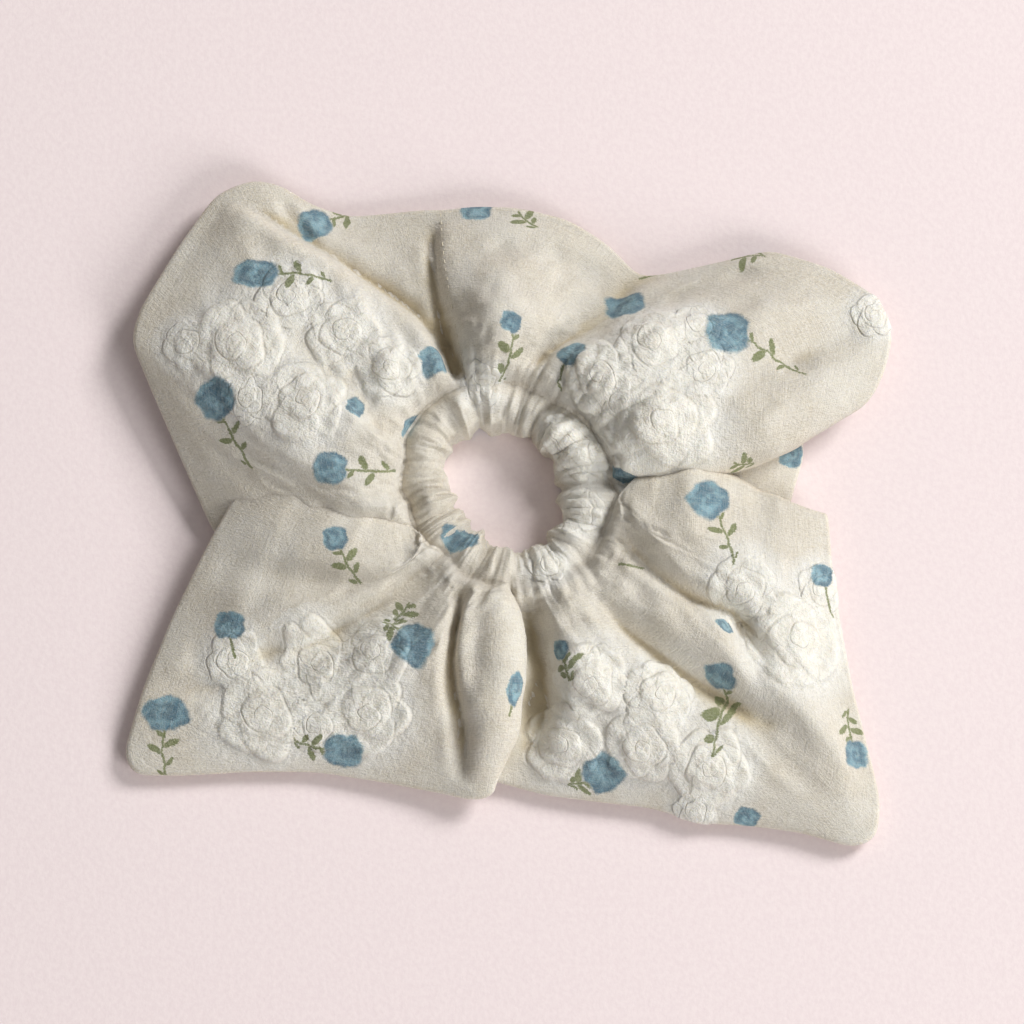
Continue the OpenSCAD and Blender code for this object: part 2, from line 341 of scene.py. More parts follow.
@dataclass
class Sleeve:
    """The one cloth piece: a tube gathered into a casing, with a two-layer ruffle."""

    ring: Ring
    table: float
    ribs: tuple[Rib, ...] = RIBS
    strokes: tuple[Stroke, ...] = STROKES
    roses: tuple[Rose, ...] = ROSES
    sprigs: Sequence[Sprig] = ()
    strip_width: float = 155.0
    strip_length: float = 725.0
    columns: int = 600
    casing_rows: int = 38
    top_rows: int = 70
    fold_rows: int = 5
    under_rows: int = 26
    casing_in: float = 3.1
    casing_half_h: float = 4.1
    neck_gap: float = 0.45
    fold_radius: float = 1.4
    wall: float = 0.5
    tuck_depth: float = 9.0
    seed: int = 11

    def ruffle_lines(self) -> dict[str, Array]:
        """Spreads the ribs' numbers over evenly spaced columns.

        Returns:
            The outer fold's x and y, the heights, the loft and the root for each column.
        """
        rows = np.array([[r.x, r.y, r.edge, r.middle, r.loft, r.root] for r in self.ribs])
        closed = np.vstack([rows, rows[0] - [0, 0, 0, 0, 0, 360]])
        steps = np.linalg.norm(np.diff(closed[:, :3], axis=0), axis=1)
        at = np.concatenate([[0.0], np.cumsum(steps)])
        where = np.linspace(0, at[-1], self.columns, endpoint=False)
        self.edge_length = float(at[-1])
        per_mm = self.columns / at[-1]
        turn = -360.0 * np.arange(self.columns) / self.columns
        out = {}
        for i, (name, width) in enumerate(
            (("x", 2.6), ("y", 2.6), ("edge", 4), ("middle", 5), ("loft", 6), ("root", 7))
        ):
            line = np.interp(where, at, closed[:, i])
            if name == "root":
                out[name] = smooth_round(line - turn, width * per_mm) + turn
            else:
                out[name] = smooth_round(line, width * per_mm)
        return out

    def middle_surface(self, lines: dict[str, Array], t: Array) -> Array:
        """The surface midway between the two layers, from the seam to the outer fold.

        Args:
            lines: What ruffle_lines() returns.
            t: Shares of the ruffle's width.

        Returns:
            Points, as columns by shares by 3.
        """
        root_out = self.ring.outward(lines["root"])
        root = self.ring.point(lines["root"]) + root_out * (self.width + 0.6)
        edge = np.stack([lines["x"], lines["y"]], -1)
        edge = edge - unit(edge - root) * self.fold_radius * 0.8
        reach = np.linalg.norm(edge - root, axis=-1, keepdims=True)
        lead = root + root_out * reach * 0.3
        s, u = (1 - t)[None, :, None], t[None, :, None]
        plan = root[:, None] * s**2 + 2 * lead[:, None] * s * u + edge[:, None] * u**2
        seam = -self.table
        a, m, e = seam, lines["middle"][:, None], lines["edge"][:, None]
        rise = a * (1 - t) * (1 - 2 * t) + 4 * m * t * (1 - t) + e * t * (2 * t - 1)
        near = (1 - t) ** 6
        rise = rise * (1 - near) + seam * near
        return np.concatenate([plan, (self.table + rise)[..., None]], -1)

    def side(self, middle: Array) -> Array:
        """Unit normals of the middle surface, which turn over where the cloth does."""
        along = np.roll(middle, -2, 0) - np.roll(middle, 2, 0)
        out = np.gradient(middle, axis=1)
        normal = unit(np.cross(along, out))
        return unit(smooth_round(normal, 3.0))

    def stroke_rise(self, x: Array, y: Array) -> Array:
        """How far the ridges and grooves raise the upper layer at each place in plan."""
        rise = np.zeros_like(x)
        for stroke in self.strokes:
            best = np.full(x.shape, 1e9)
            side = np.zeros_like(x)
            past = np.zeros_like(x)
            share = np.zeros_like(x)
            line = soften(soften(np.array(stroke.line, float)))
            lengths = np.hypot(*np.diff(line, axis=0).T)
            for i, (p, q) in enumerate(zip(line[:-1], line[1:])):
                d = q - p
                length = np.hypot(*d)
                d = d / length
                along = (x - p[0]) * d[0] + (y - p[1]) * d[1]
                off = (y - p[1]) * d[0] - (x - p[0]) * d[1]
                over = np.maximum(np.maximum(-along, along - length), 0.0)
                distance = np.hypot(off, over)
                nearer = distance < best
                best = np.where(nearer, distance, best)
                side = np.where(nearer, off, side)
                is_end = ((i == 0) & (along < 0)) | ((i == len(line) - 2) & (along > length))
                past = np.where(nearer, np.where(is_end, over, 0.0), past)
                gone = lengths[:i].sum() + np.clip(along, 0.0, length)
                share = np.where(nearer, gone / lengths.sum(), share)
            taper = 0.35 + 0.65 * smoothstep(0, 0.25, share) * (1 - smoothstep(0.75, 1, share))
            rise += stroke.height * taper * np.exp(-((best / stroke.width) ** 2))
            if stroke.step:
                foot = smoothstep(-0.35 * stroke.width, stroke.width, side)
                away = np.exp(-np.maximum(side, 0.0) / stroke.fade)
                rise += stroke.step * foot * away * np.exp(-((past / stroke.width) ** 2))
        return rise

    def layers(self) -> dict[str, Array]:
        """The smooth cloth: each stretch of the tube as columns by rows by 3."""
        lines = self.ruffle_lines()
        self.lines = lines
        crumple = Crumple(self.seed)
        turn = (110.0 - lines["root"]) / 360.0
        self.turn = turn
        self.width = self.ring.around(self.ring.widths, lines["root"])[:, None]
        for size, cells in ((1.3, 15), (0.8, 37)):
            self.width = self.width + size * crumple.drift(turn[:, None], 0 * turn[:, None], cells, 1)
        t = 0.5 - 0.5 * np.cos(np.pi * np.linspace(0, 1, self.top_rows) ** 0.92)
        t = 0.55 * t + 0.45 * np.linspace(0, 1, self.top_rows)
        middle = self.middle_surface(lines, t)
        normal = self.side(middle)
        hump = np.sin(np.pi * t**0.66) ** 0.85
        thin = self.neck_gap + (self.fold_radius - self.neck_gap) * smoothstep(0.0, 0.9, t)
        rise = self.stroke_rise(middle[..., 0], middle[..., 1])
        rise *= smoothstep(0.0, 0.16, t) * (1 - smoothstep(0.9, 1.0, t))
        swell = lines["loft"][:, None] * hump
        wave = crumple.drift(turn[:, None] + 0 * t, t[None] + 0 * turn[:, None], 30, 4)
        swell = swell * (1 + 0.16 * wave)
        body = np.maximum(swell + rise * np.minimum(1, lines["loft"][:, None] / 7), 0.25 * hump)
        top = middle + normal * (thin + body)[..., None]
        t2 = np.linspace(0, 1, self.under_rows)
        middle2 = self.middle_surface(lines, t2)
        normal2 = self.side(middle2)
        thin2 = self.neck_gap + (self.fold_radius - self.neck_gap) * smoothstep(0.0, 0.3, t2)
        under = middle2 - normal2 * thin2[:, None]
        out = unit(middle[:, -1] - middle[:, -3])
        n = normal[:, -1]
        a = np.linspace(0, np.pi, self.fold_rows + 2)[1:-1]
        bend = out[:, None] * np.sin(a)[:, None] + n[:, None] * np.cos(a)[:, None]
        fold = middle[:, -1:] + self.fold_radius * bend
        return {
            "top": top, "fold": fold, "under": under[:, ::-1], "t": t, "normal": normal,
            "gap": body + thin,
            "t_under": t2[::-1], "normal_under": normal2[:, ::-1],
        }  # fmt: skip

    def casing(self) -> Array:
        """The casing's section round the elastic, without its wrinkles."""
        root = self.lines["root"]
        centre, out = self.ring.point(root), self.ring.outward(root)
        a = np.radians(np.linspace(-10, -345, self.casing_rows))[None]
        half_w = np.where(np.cos(a) > 0, self.width, self.casing_in)
        plan = centre[:, None] + out[:, None] * (half_w * np.cos(a))[..., None]
        z = np.broadcast_to(self.casing_half_h * np.sin(a), plan.shape[:2])
        return np.concatenate([plan, z[..., None]], -1)

    def rows(self, layers: dict[str, Array]) -> Array:
        """Joins the stretches into the whole tube, columns by rows by 3."""
        return np.concatenate([layers["casing"], layers["top"], layers["fold"], layers["under"]], 1)

    def folds(self, u: Array, fine: float = 1.0) -> Array:
        """The gathers' heights, the same on both sides of the casing's seam.

        Args:
            u: Place round the ring, where 1 is a full turn.
            fine: Share of the finer creases.

        Returns:
            Heights from 0 up.
        """
        crumple = Crumple(self.seed + 3)
        clumps = crumple.puffs(u, 14, 0.5)
        creases = crumple.puffs(u, 37, 0.6)
        return 2.9 * clumps + fine * (1.6 * creases + 0.75 * crumple.puffs(u, 83, 0.6))

    def gathers(self, layers: dict[str, Array]) -> dict[str, Array]:
        """Adds the puckers of the gathered cloth, which only ever push outwards."""
        crumple = Crumple(self.seed + 1)
        u = self.turn[:, None]
        v = np.linspace(0, 1, self.casing_rows)[None]
        uc, vc = u + 0 * v, v + 0 * u
        middle = np.sin(np.pi * v)
        twist = u + (0.016 * crumple.drift(uc, vc, 24, 4) + 0.003 * crumple.drift(uc, vc, 60, 8)) * middle
        lumps = self.folds(twist) * (0.7 + 0.3 * middle**0.7)
        lumps += 0.6 * (1 + crumple.drift(uc, vc, 90, 8)) * middle
        lumps += 2.0 * (1 - np.abs(crumple.drift(uc, vc, 58, 7)) ** 0.7) * middle
        lumps += 1.0 * (1 - np.abs(crumple.drift(uc, vc, 104, 10)) ** 0.8) * middle
        lumps *= 1 + 0.4 * crumple.drift(uc, vc, 22, 4)
        a = np.radians(np.linspace(-10, -345, self.casing_rows))
        inner = np.maximum(-np.cos(a), 0.0)[None]
        lumps = smooth_round(lumps, 0.8)
        lumps = lumps * (1 - 0.4 * inner) + inner * (smooth_round(lumps, 3.0) - lumps) * 0.35
        radial = np.where(np.cos(a) > 0, 0.25, 1.0) * np.cos(a)
        outward = self.ring.outward(self.lines["root"])
        up = np.broadcast_to(np.sin(a), vc.shape)[..., None]
        push = np.concatenate([outward[:, None] * radial[None, :, None], up], -1)
        casing = self.casing() + push * lumps[..., None]
        neck = self.ring.around(self.ring.necks, self.lines["root"])[:, None]
        neck = neck * (1 + 0.35 * crumple.drift(u, 0 * u, 17, 1))
        casing[..., 2] += neck * smoothstep(0.72, 1.0, v)
        top, normal, t = layers["top"], layers["normal"], layers["t"][None]
        d = t * np.linalg.norm(np.diff(top, axis=1), axis=-1).sum(1)[:, None]
        pucker = self.puckers(u, t, d, crumple)
        pucker = pucker * np.clip(self.lines["loft"][:, None] / 6, 0.35, 1)
        top = top + normal * pucker[..., None]
        top[..., 2] += neck * np.exp(-d / 3.5) * (1 - t)
        under, t = layers["under"], layers["t_under"][None]
        d = t * np.linalg.norm(np.diff(under, axis=1), axis=-1).sum(1)[:, None]
        pucker = self.puckers(u, t, d, crumple)
        room = under[..., 2] - self.table
        pucker = room * (1 - np.exp(-pucker / np.maximum(room, 0.1)))
        gap = np.array([np.interp(t[0], layers["t"], column) for column in layers["gap"]])
        lean = u + 0.01 * crumple.drift(u + 0 * t, t + 0 * u, 20, 3)
        tuck = 1 - crumple.puffs(lean, 76, 0.35, 1.6)
        depth = np.clip(np.minimum(0.66 * gap, gap - 1.4), 0.0, self.tuck_depth)
        pucker -= tuck * depth * (1 - smoothstep(0.72, 0.98, t))
        under = under - layers["normal_under"] * pucker[..., None]
        return {**layers, "casing": casing, "top": top, "under": under}

    def melt(self, points: Array) -> Array:
        """Lets the gathers run over the casing's seam, except at the left where it shows."""
        neck = self.ring.around(self.ring.necks, self.lines["root"])[:, None, None]
        share = 0.08 + 0.34 * smoothstep(3.6, 6.0, neck)
        part = points[:, self.casing_rows - 9 : self.casing_rows + 8].copy()
        for _ in range(14):
            part[:, 1:-1] += share * (part[:, :-2] + part[:, 2:] - 2 * part[:, 1:-1]) / 2
        points[:, self.casing_rows - 9 : self.casing_rows + 8] = part
        return points

    def puckers(self, u: Array, t: Array, d: Array, crumple: Crumple) -> Array:
        """Heights of a ruffle layer's gathers, which fade away from the casing.

        Args:
            u: Place round the ring, where 1 is a full turn.
            t: Share of the ruffle's width.
            d: Distance from the casing's seam.
            crumple: Where the wrinkles come from.

        Returns:
            Heights, as columns by shares.
        """
        ut, tt = u + 0 * t, t + 0 * u
        lean = u + 0.014 * crumple.drift(ut, tt, 18, 3) * np.minimum(1, d / 12)
        shared = np.exp(-d / 7.5) * (0.7 + 0.3 * (1 - np.exp(-d / 1.5)))
        out = self.folds(lean, 1.15) * shared * 1.2
        out += 2.5 * crumple.puffs(lean, 26, 0.6) * (1 - np.exp(-d / 3)) * np.exp(-d / 14.0)
        out += 1.8 * crumple.puffs(lean, 13, 0.6) * (1 - np.exp(-d / 8)) * np.exp(-d / 28.0)
        slack = 0.6 * crumple.drift(ut, tt, 62, 6) + 0.5 * crumple.drift(ut, tt, 130, 13)
        ridge = 1 - np.abs(crumple.drift(ut, tt, 88, 9)) ** 0.7
        out += (0.8 + slack + 0.7 * ridge) * (1 - np.exp(-d / 6)) * 0.9
        knobs = 1 - np.abs(crumple.drift(ut, np.minimum(d / 26, 1), 66, 8)) ** 0.7
        out += 2.2 * knobs * (1 - np.exp(-d / 2)) * np.exp(-d / 10)
        return out * (1 - smoothstep(0.8, 1.0, t))

    def inner_skin(self, points: Array) -> Array:
        """The cloth's inner face, on every other column and some of the rows."""
        share = [np.full(self.casing_rows, 1.0), smoothstep(0, 0.12, np.linspace(0, 1, self.top_rows))]
        share += [np.full(self.fold_rows, 1.0), smoothstep(0, 0.2, np.linspace(1, 0, self.under_rows))]
        offset = self.wall * (0.3 + 0.7 * np.concatenate(share))
        inside = points - Grid(points).normals() * offset[None, :, None]
        pick = np.unique(np.linspace(0, points.shape[1] - 1, 48).astype(int))
        inside = inside[::2, pick]
        inside[..., 2] = np.maximum(inside[..., 2], self.table + 0.35)
        return inside

    def build(self, pattern_of: Callable[[Array, float], Pattern]) -> bpy.types.Object:
        """Makes the cloth as one closed shell with an outer and an inner skin.

        Args:
            pattern_of: Makes the pattern for the outer skin's grid and the cloth's length.

        Returns:
            The sleeve, with its pattern in the corners' attributes.
        """
        points = self.melt(self.rows(self.gathers(self.layers())))
        points[..., 2] = np.maximum(points[..., 2], self.table + 0.1)
        pattern = pattern_of(points, self.strip_length)
        rose_at, rise = pattern.roses(self.roses)
        sprig_at, sprig_size = pattern.sprigs(self.sprigs)
        inside = self.inner_skin(points)
        lift = Grid(smooth_round(points, 1.5)).normals() * rise[..., None]
        points = points + lift
        points[..., 2] = np.maximum(points[..., 2], self.table + 0.1)
        self.points = points
        outer, inner = Grid(points), Grid(inside)
        hollow_shade_depth = outer.hollows()
        flat = np.concatenate([points.reshape(-1, 3), inside.reshape(-1, 3)])
        quads = np.concatenate([outer.quads(), inner.quads(True, points[..., 0].size)])
        obj = mesh_object("cloth_sleeve", flat, quads.tolist())
        rest = inside[..., 0].size * 4
        for name, values, blank in (
            ("sprig_at", sprig_at, (100, 100, 0)), ("sprig_size", sprig_size, (1, 1, 0)),
            ("rose_at", rose_at, (3, 3, 0)),
        ):  # fmt: skip
            both = np.concatenate([values.reshape(-1, 3), np.tile(blank, (rest, 1))])
            attribute = obj.data.attributes.new(name, "FLOAT_VECTOR", "CORNER")
            attribute.data.foreach_set("vector", both.astype(np.float32).ravel())
        # The hollows' depths set the painted shade that darkens the cloth in its folds and creases.
        hollow_shade_points = np.concatenate([hollow_shade_depth.ravel(), np.zeros(inside[..., 0].size)])
        attribute = obj.data.attributes.new("hollow_shade_depth", "FLOAT", "POINT")
        attribute.data.foreach_set("value", hollow_shade_points.astype(np.float32))
        weave = np.concatenate([pattern.weave().reshape(-1, 2), np.zeros((rest, 2))])
        obj.data.uv_layers.new(name="weave").data.foreach_set("uv", weave.astype(np.float32).ravel())
        self.normals = outer.normals()
        return obj


@dataclass
class Grid:
    """A closed tube of points, columns by rows, that both wrap round."""

    points: Array

    def normals(self) -> Array:
        """Unit normals of the grid's points, outwards."""
        p = self.points
        along = np.roll(p, -1, 0) - np.roll(p, 1, 0)
        across = np.roll(p, -1, 1) - np.roll(p, 1, 1)
        return unit(np.cross(along, across))

    def hollows(self) -> Array:
        """How far each point lies below the smooth surface round it, in millimetres, which sets the cloth's
        painted shade in its folds.
        """
        out = np.zeros(self.points.shape[:2])
        normals = self.normals()
        for width in (4.0, 12.0):
            soft = smooth_round(self.points, width)
            soft = np.swapaxes(smooth_round(np.swapaxes(soft, 0, 1), width * 0.4), 0, 1)
            out += np.einsum("ijk,ijk->ij", soft - self.points, normals)
        return out

    def quads(self, flip: bool = False, first: int = 0) -> Array:
        """Vertex numbers of the quads, one row each."""
        n, k = self.points.shape[:2]
        i, j = np.meshgrid(np.arange(n), np.arange(k), indexing="ij")
        i1, j1 = (i + 1) % n, (j + 1) % k
        loop = [i * k + j, i1 * k + j, i1 * k + j1, i * k + j1]
        quads = np.stack(loop[::-1] if flip else loop, -1).reshape(-1, 4)
        return quads + first


# ---------------------------------------------------------------------------------------
# What is printed and raised on the cloth
# ---------------------------------------------------------------------------------------


class Leaves(Enum):
    """How a printed sprig grows."""

    NONE = 0
    RIGHT = 1
    LEFT = -1


@dataclass(frozen=True)
class Sprig:
    """A printed bloom on its stem, by its place in plan and its size along x and y."""

    x: float
    y: float
    width: float
    height: float
    stem: float = 0.0
    towards: float = -90.0
    leaves: Leaves = Leaves.RIGHT


R, L, N = Leaves.RIGHT, Leaves.LEFT, Leaves.NONE
SPRIGS: tuple[Sprig, ...] = tuple(
    Sprig(*s)
    for s in (
        # Upper left lobe
        (-49, 71.5, 9, 9, 11, 25, L), (-65, 57.5, 13, 8, 15, -2, R), (-76, 23.5, 12, 11.5, 16, -68, L),
        (-39, 20, 5.5, 7, 0, 0, N), (-46, 4, 9.5, 9, 16, -4, L), (-24.5, 17, 8, 5, 0, 0, N),
        (-17, 33.5, 6, 10, 0, -60, N),
        # Top fold
        (-7, 75.5, 9, 8, 0, 0, N), (3, 42, 6, 6.5, 12, -82, R), (33, 49, 11, 9, 0, 0, N),
        (18.5, 34.5, 10.5, 6, 7, -130, N), (5, 75, 0.1, 0.1, 7, -60, L),
        # Upper right lobe
        (60, 40.5, 12.5, 12, 18, -22, R), (60, 66, 0.1, 0.1, 9, 10, R), (32, 2.5, 7, 5.5, 0, 0, N),
        (75.5, 9, 7, 7, 0, 0, N), (60, 5, 0.1, 0.1, 6, -40, L), (36, 57, 0.1, 0.1, 7, 20, N),
        # Lower right lobe
        (53.5, -6, 13.5, 9, 14, -62, R), (83, -23.5, 7, 6.5, 9, -72, N), (92, -70, 8, 8, 9, 105, R),
        (57, -52, 9.5, 9, 14, -96, R), (58, -37.5, 6, 4.5, 0, 0, N), (25.5, -75, 12.5, 10, 5, -150, R),
        (63, -86, 7, 6, 0, 0, N), (14.5, -44, 5, 6.5, 6, -50, R),
        # Pleat
        (3, -54.5, 4.5, 10, 4, -100, N), (30, -21, 0.1, 0.1, 6, -10, N),
        # Lower left lobe
        (-24, -42.5, 12.5, 10, 6, 135, L), (-25, -31, 0.1, 0.1, 6, -110, R), (-42.5, -69, 11.5, 9.5, 9, 172, R),
        (-88.5, -59, 13.5, 9, 14, -96, L), (-71.5, -36, 9, 7.5, 6, -88, N), (-43.5, -14, 7, 7, 10, -65, L),
        (-11, -15, 9, 7, 0, 0, N),
    )
)  # fmt: skip

# A rose's cups: centre, radius, phase of the uneven rim and share of the height. The outer
# petals overlap, and the heart's cups stand on one another.
OUTER: tuple[tuple[float, ...], ...] = (
    (0.40, 0.14, 0.60, 0.4, 0.50), (0.02, 0.46, 0.56, 2.0, 0.43), (-0.44, 0.12, 0.58, 3.4, 0.49),
    (-0.24, -0.42, 0.57, 5.2, 0.42), (0.30, -0.36, 0.58, 1.2, 0.46),
)  # fmt: skip
HEART: tuple[tuple[float, ...], ...] = (
    (0.05, -0.04, 0.57, 2.6, 0.22), (-0.05, 0.05, 0.38, 0.2, 0.17), (0.04, 0.0, 0.2, 4.0, 0.13),
)  # fmt: skip


def petals(x: Array, y: Array) -> Array:
    """Height of a rose's petals, from 0 to 1, over a disc of radius 1.

    Args:
        x: Place across the rose, where its edge is at 1.
        y: Place along the rose.

    Returns:
        Heights that fall to 0 at the rose's uneven edge.
    """
    outer, heart = np.zeros_like(x), np.zeros_like(x)
    for number, (cx, cy, radius, phase, share) in enumerate(OUTER + HEART):
        a = np.arctan2(y - cy, x - cx)
        rim = radius * (1 + 0.08 * np.sin(3 * a + phase) + 0.03 * np.sin(5 * a + 2 * phase))
        d = np.hypot(x - cx, y - cy) / rim
        cup = share * (0.5 + 0.5 * d**2) * (1 - smoothstep(0.8, 1.04, d))
        if number < len(OUTER):
            outer = np.maximum(outer, cup)
        else:
            heart += cup
    return outer + heart


@dataclass
class Patch:
    """A small part of a grid round one point, with its own flat coordinates."""

    inside: Array
    x: Array
    y: Array


class Pattern:
    """Places the sprigs and roses on the sleeve's grid."""

    def __init__(self, points: Array, length: float) -> None:
        """Prepares the sleeve's surface for finding places on it.

        Args:
            points: The sleeve's grid, columns by rows by 3.
            length: Length of the flat cloth.
        """
        self.points, self.length = points, length
        self.columns, self.rows = points.shape[:2]
        grid = Grid(points)
        self.tree = BVHTree.FromPolygons(points.reshape(-1, 3).tolist(), grid.quads().tolist())
        self.normals = grid.normals()
        self.facing = Grid(smooth_round(points, 4.0)).normals()
        steps = np.linalg.norm(np.roll(points, -1, 1) - points, axis=-1).mean(0)
        self.row_at = np.concatenate([[0.0], np.cumsum(steps)])
        self.shown = self.seen_from_above()

    def place(self, x: float, y: float) -> tuple[int, int] | None:
        """The column and row of the surface seen from above at x and y."""
        hit = self.tree.ray_cast(Vector((x, y, 100.0)), Vector((0, 0, -1)))
        if hit[2] is None:
            near = self.tree.find_nearest(Vector((x, y, 4.0)), 14.0)
            if near[2] is None:
                return None
            hit = near
        return divmod(int(hit[2]), self.rows)

    def patch(self, at: tuple[int, int], reach: float, degrees: float) -> Patch:
        """The surface within reach of a place, spread flat.

        Args:
            at: Column and row in the grid.
            reach: Radius of the patch.
            degrees: Direction of the patch's own downward axis, in plan.

        Returns:
            Which points are inside, and every point's flat x and y.
        """
        i, j = at
        centre, normal = self.points[i, j], self.normals[i, j]
        down = np.array([math.cos(math.radians(degrees)), math.sin(math.radians(degrees)), 0.0])
        down = unit(down - normal * (down @ normal))
        right = np.cross(down, normal)
        away = self.points - centre
        ahead = self.facing @ self.facing[i, j] > 0.3
        inside = (np.linalg.norm(away, axis=-1) < reach) & ahead
        seen = np.zeros_like(inside)
        seen[i, j] = True
        span = self.columns // 6
        for _ in range(span):
            grown = seen | np.roll(seen, 1, 0) | np.roll(seen, -1, 0)
            grown |= np.roll(seen, 1, 1) | np.roll(seen, -1, 1)
            grown &= inside
            if (grown == seen).all():
                break
            seen = grown
        return Patch(seen, away @ right, -(away @ down))

    def faces_of(self, values: Array) -> Array:
        """Values at each quad's four corners, columns by rows by 4."""
        i1 = np.roll(values, -1, 0)
        return np.stack([values, i1, np.roll(i1, -1, 1), np.roll(values, -1, 1)], -1)

    def lattice(self, step_s: float, step_t: float, seed: int) -> list[tuple[int, int]]:
        """Columns and rows of a jittered lattice over the flat cloth."""
        rng = np.random.default_rng(seed)
        width = self.row_at[-1]
        columns, rows = round(self.length / step_s), round(width / step_t)
        out = []
        for a in range(columns):
            for b in range(rows):
                s = (a + 0.5 * (b % 2) + rng.uniform(-0.2, 0.2)) / columns
                t = (b + 0.5 + rng.uniform(-0.2, 0.2)) / rows
                row = int(np.searchsorted(self.row_at, t * width))
                out.append((int(s * self.columns) % self.columns, min(row, self.rows - 1)))
        return out

    def weave(self) -> Array:
        """Each quad corner's place on the flat cloth, in centimetres."""
        s = np.arange(self.columns + 1)[:, None] * self.length / self.columns / 10
        t = self.row_at[None] / 10
        s, t = s + 0 * t, t + 0 * s
        both = np.stack([s, t], -1)
        corners = [both[:-1, :-1], both[1:, :-1], both[1:, 1:], both[:-1, 1:]]
        return np.stack(corners, 2)

    def seen_from_above(self) -> Array:
        """Which quads show from above."""
        corners = [self.faces_of(self.points[..., axis]) for axis in range(3)]
        centres = np.stack([c.mean(-1) for c in corners], -1)
        shown = np.zeros((self.columns, self.rows), bool)
        down = Vector((0, 0, -1))
        for i, j in np.argwhere(self.normals[..., 2] > 0.05):
            x, y, z = centres[i, j]
            hit = self.tree.ray_cast(Vector((x, y, 100.0)), down)[0]
            shown[i, j] = hit is not None and hit.z - z < 0.6
        return shown

    def hidden_places(self, seed: int, step: float) -> list[tuple[int, int]]:
        """Lattice places that don't show from above."""
        return [at for at in self.lattice(step, step * 0.9, seed) if not self.shown[at]]

    def sprigs(self, sprigs: Sequence[Sprig]) -> tuple[Array, Array]:
        """Gives each quad corner its place on the nearest sprig.

        Args:
            sprigs: What is printed where it shows.

        Returns:
            Two arrays of columns by rows by 4 by 3: x, y and stem length, and the bloom's
            half width, half height and leaf side.
        """
        shape = (self.columns, self.rows, 4, 3)
        at, size = np.full(shape, 100.0), np.ones(shape)
        at[..., 2] = 0.0
        best = np.full(shape[:2], 9.0)
        clear = np.ones(shape[:2], bool)

        def add(place: tuple[int, int], s: Sprig) -> None:
            """Prints one sprig round a place."""
            reach = max(s.width, s.height) * 0.62 + 1.5
            reach = max(reach, s.height * 0.5 + s.stem + 2.5)
            patch = self.patch(place, reach, s.towards)
            inside = self.faces_of(patch.inside).all(-1)
            x, y = self.faces_of(patch.x), self.faces_of(patch.y)
            score = np.hypot(x, y + 0.35 * s.stem).mean(-1) / reach
            take = inside & (score < best)
            best[take] = score[take]
            at[take, :, 0], at[take, :, 1], at[take, :, 2] = x[take], y[take], s.stem
            a = math.radians(s.towards + 90)
            along, across = abs(math.cos(a)), abs(math.sin(a))
            width = (along * s.width + across * s.height) / (along + across)
            height = (across * s.width + along * s.height) / (along + across)
            size[take] = (width / 2, height / 2, s.leaves.value)
            clear[patch.inside] = False

        for s in sprigs:
            place = self.place(s.x, s.y)
            if place is not None:
                add(place, s)
        rng = np.random.default_rng(5)
        for place in self.hidden_places(17, 33.0):
            width, stem, towards = rng.uniform(7, 12.5), rng.uniform(8, 16), rng.uniform(0, 360)
            leaves = R if rng.random() < 0.5 else L
            around = self.patch(place, width * 0.5 + stem + 2.5, towards).inside
            if clear[place] and not (around & self.shown).any():
                add(place, Sprig(0, 0, width, width * 0.85, stem, towards, leaves))
        return at, size

    def roses(self, roses: Sequence[Rose]) -> tuple[Array, Array]:
        """Gives each quad corner its place on the nearest rose, and each point its rise.

        Args:
            roses: The roses that show from above.

        Returns:
            Columns by rows by 4 by 3, with x, y and 1 on a rose, and the rise of each point.
        """
        shape = (self.columns, self.rows, 4, 3)
        at = np.zeros(shape)
        at[..., :2] = 3.0
        best = np.full(shape[:2], 1.7)
        rise = np.zeros(shape[:2])
        clear = np.ones(shape[:2], bool)

        def add(place: tuple[int, int], rose: Rose) -> None:
            """Raises one rose round a place."""
            patch = self.patch(place, rose.radius * 1.75, rose.turn)
            px, py = patch.x / rose.radius, patch.y / rose.radius
            inside = self.faces_of(patch.inside).all(-1)
            x, y = self.faces_of(px), self.faces_of(py)
            score = np.hypot(x, y).mean(-1)
            take = inside & (score < best)
            best[take] = score[take]
            at[take, :, 0], at[take, :, 1], at[take, :, 2] = x[take], y[take], 1.0
            lift = np.where(patch.inside, petals(px, py), 0.0) * rose.height * 1.15
            np.maximum(rise, lift, out=rise)
            clear[patch.inside & (np.hypot(px, py) < 1.2)] = False

        for rose in roses:
            place = self.place(rose.x, rose.y)
            if place is not None:
                add(place, rose)
        rng = np.random.default_rng(8)
        for place in self.hidden_places(23, 40.0):
            radius, turn = rng.uniform(7, 11), rng.uniform(0, 360)
            around = self.patch(place, radius * 1.6, turn).inside
            if clear[place] and not (around & self.shown).any():
                add(place, Rose(0, 0, radius, 0.0, turn))
        return at, rise


# ---------------------------------------------------------------------------------------
# Finishes
# ---------------------------------------------------------------------------------------


def srgb(red: int, green: int, blue: int) -> tuple[float, float, float, float]:
    """A colour as a shader wants it, from its everyday 0 to 255 values."""
    parts = [c / 255 for c in (red, green, blue)]
    r, g, b = (c / 12.92 if c <= 0.04045 else ((c + 0.055) / 1.055) ** 2.4 for c in parts)
    return (r, g, b, 1.0)


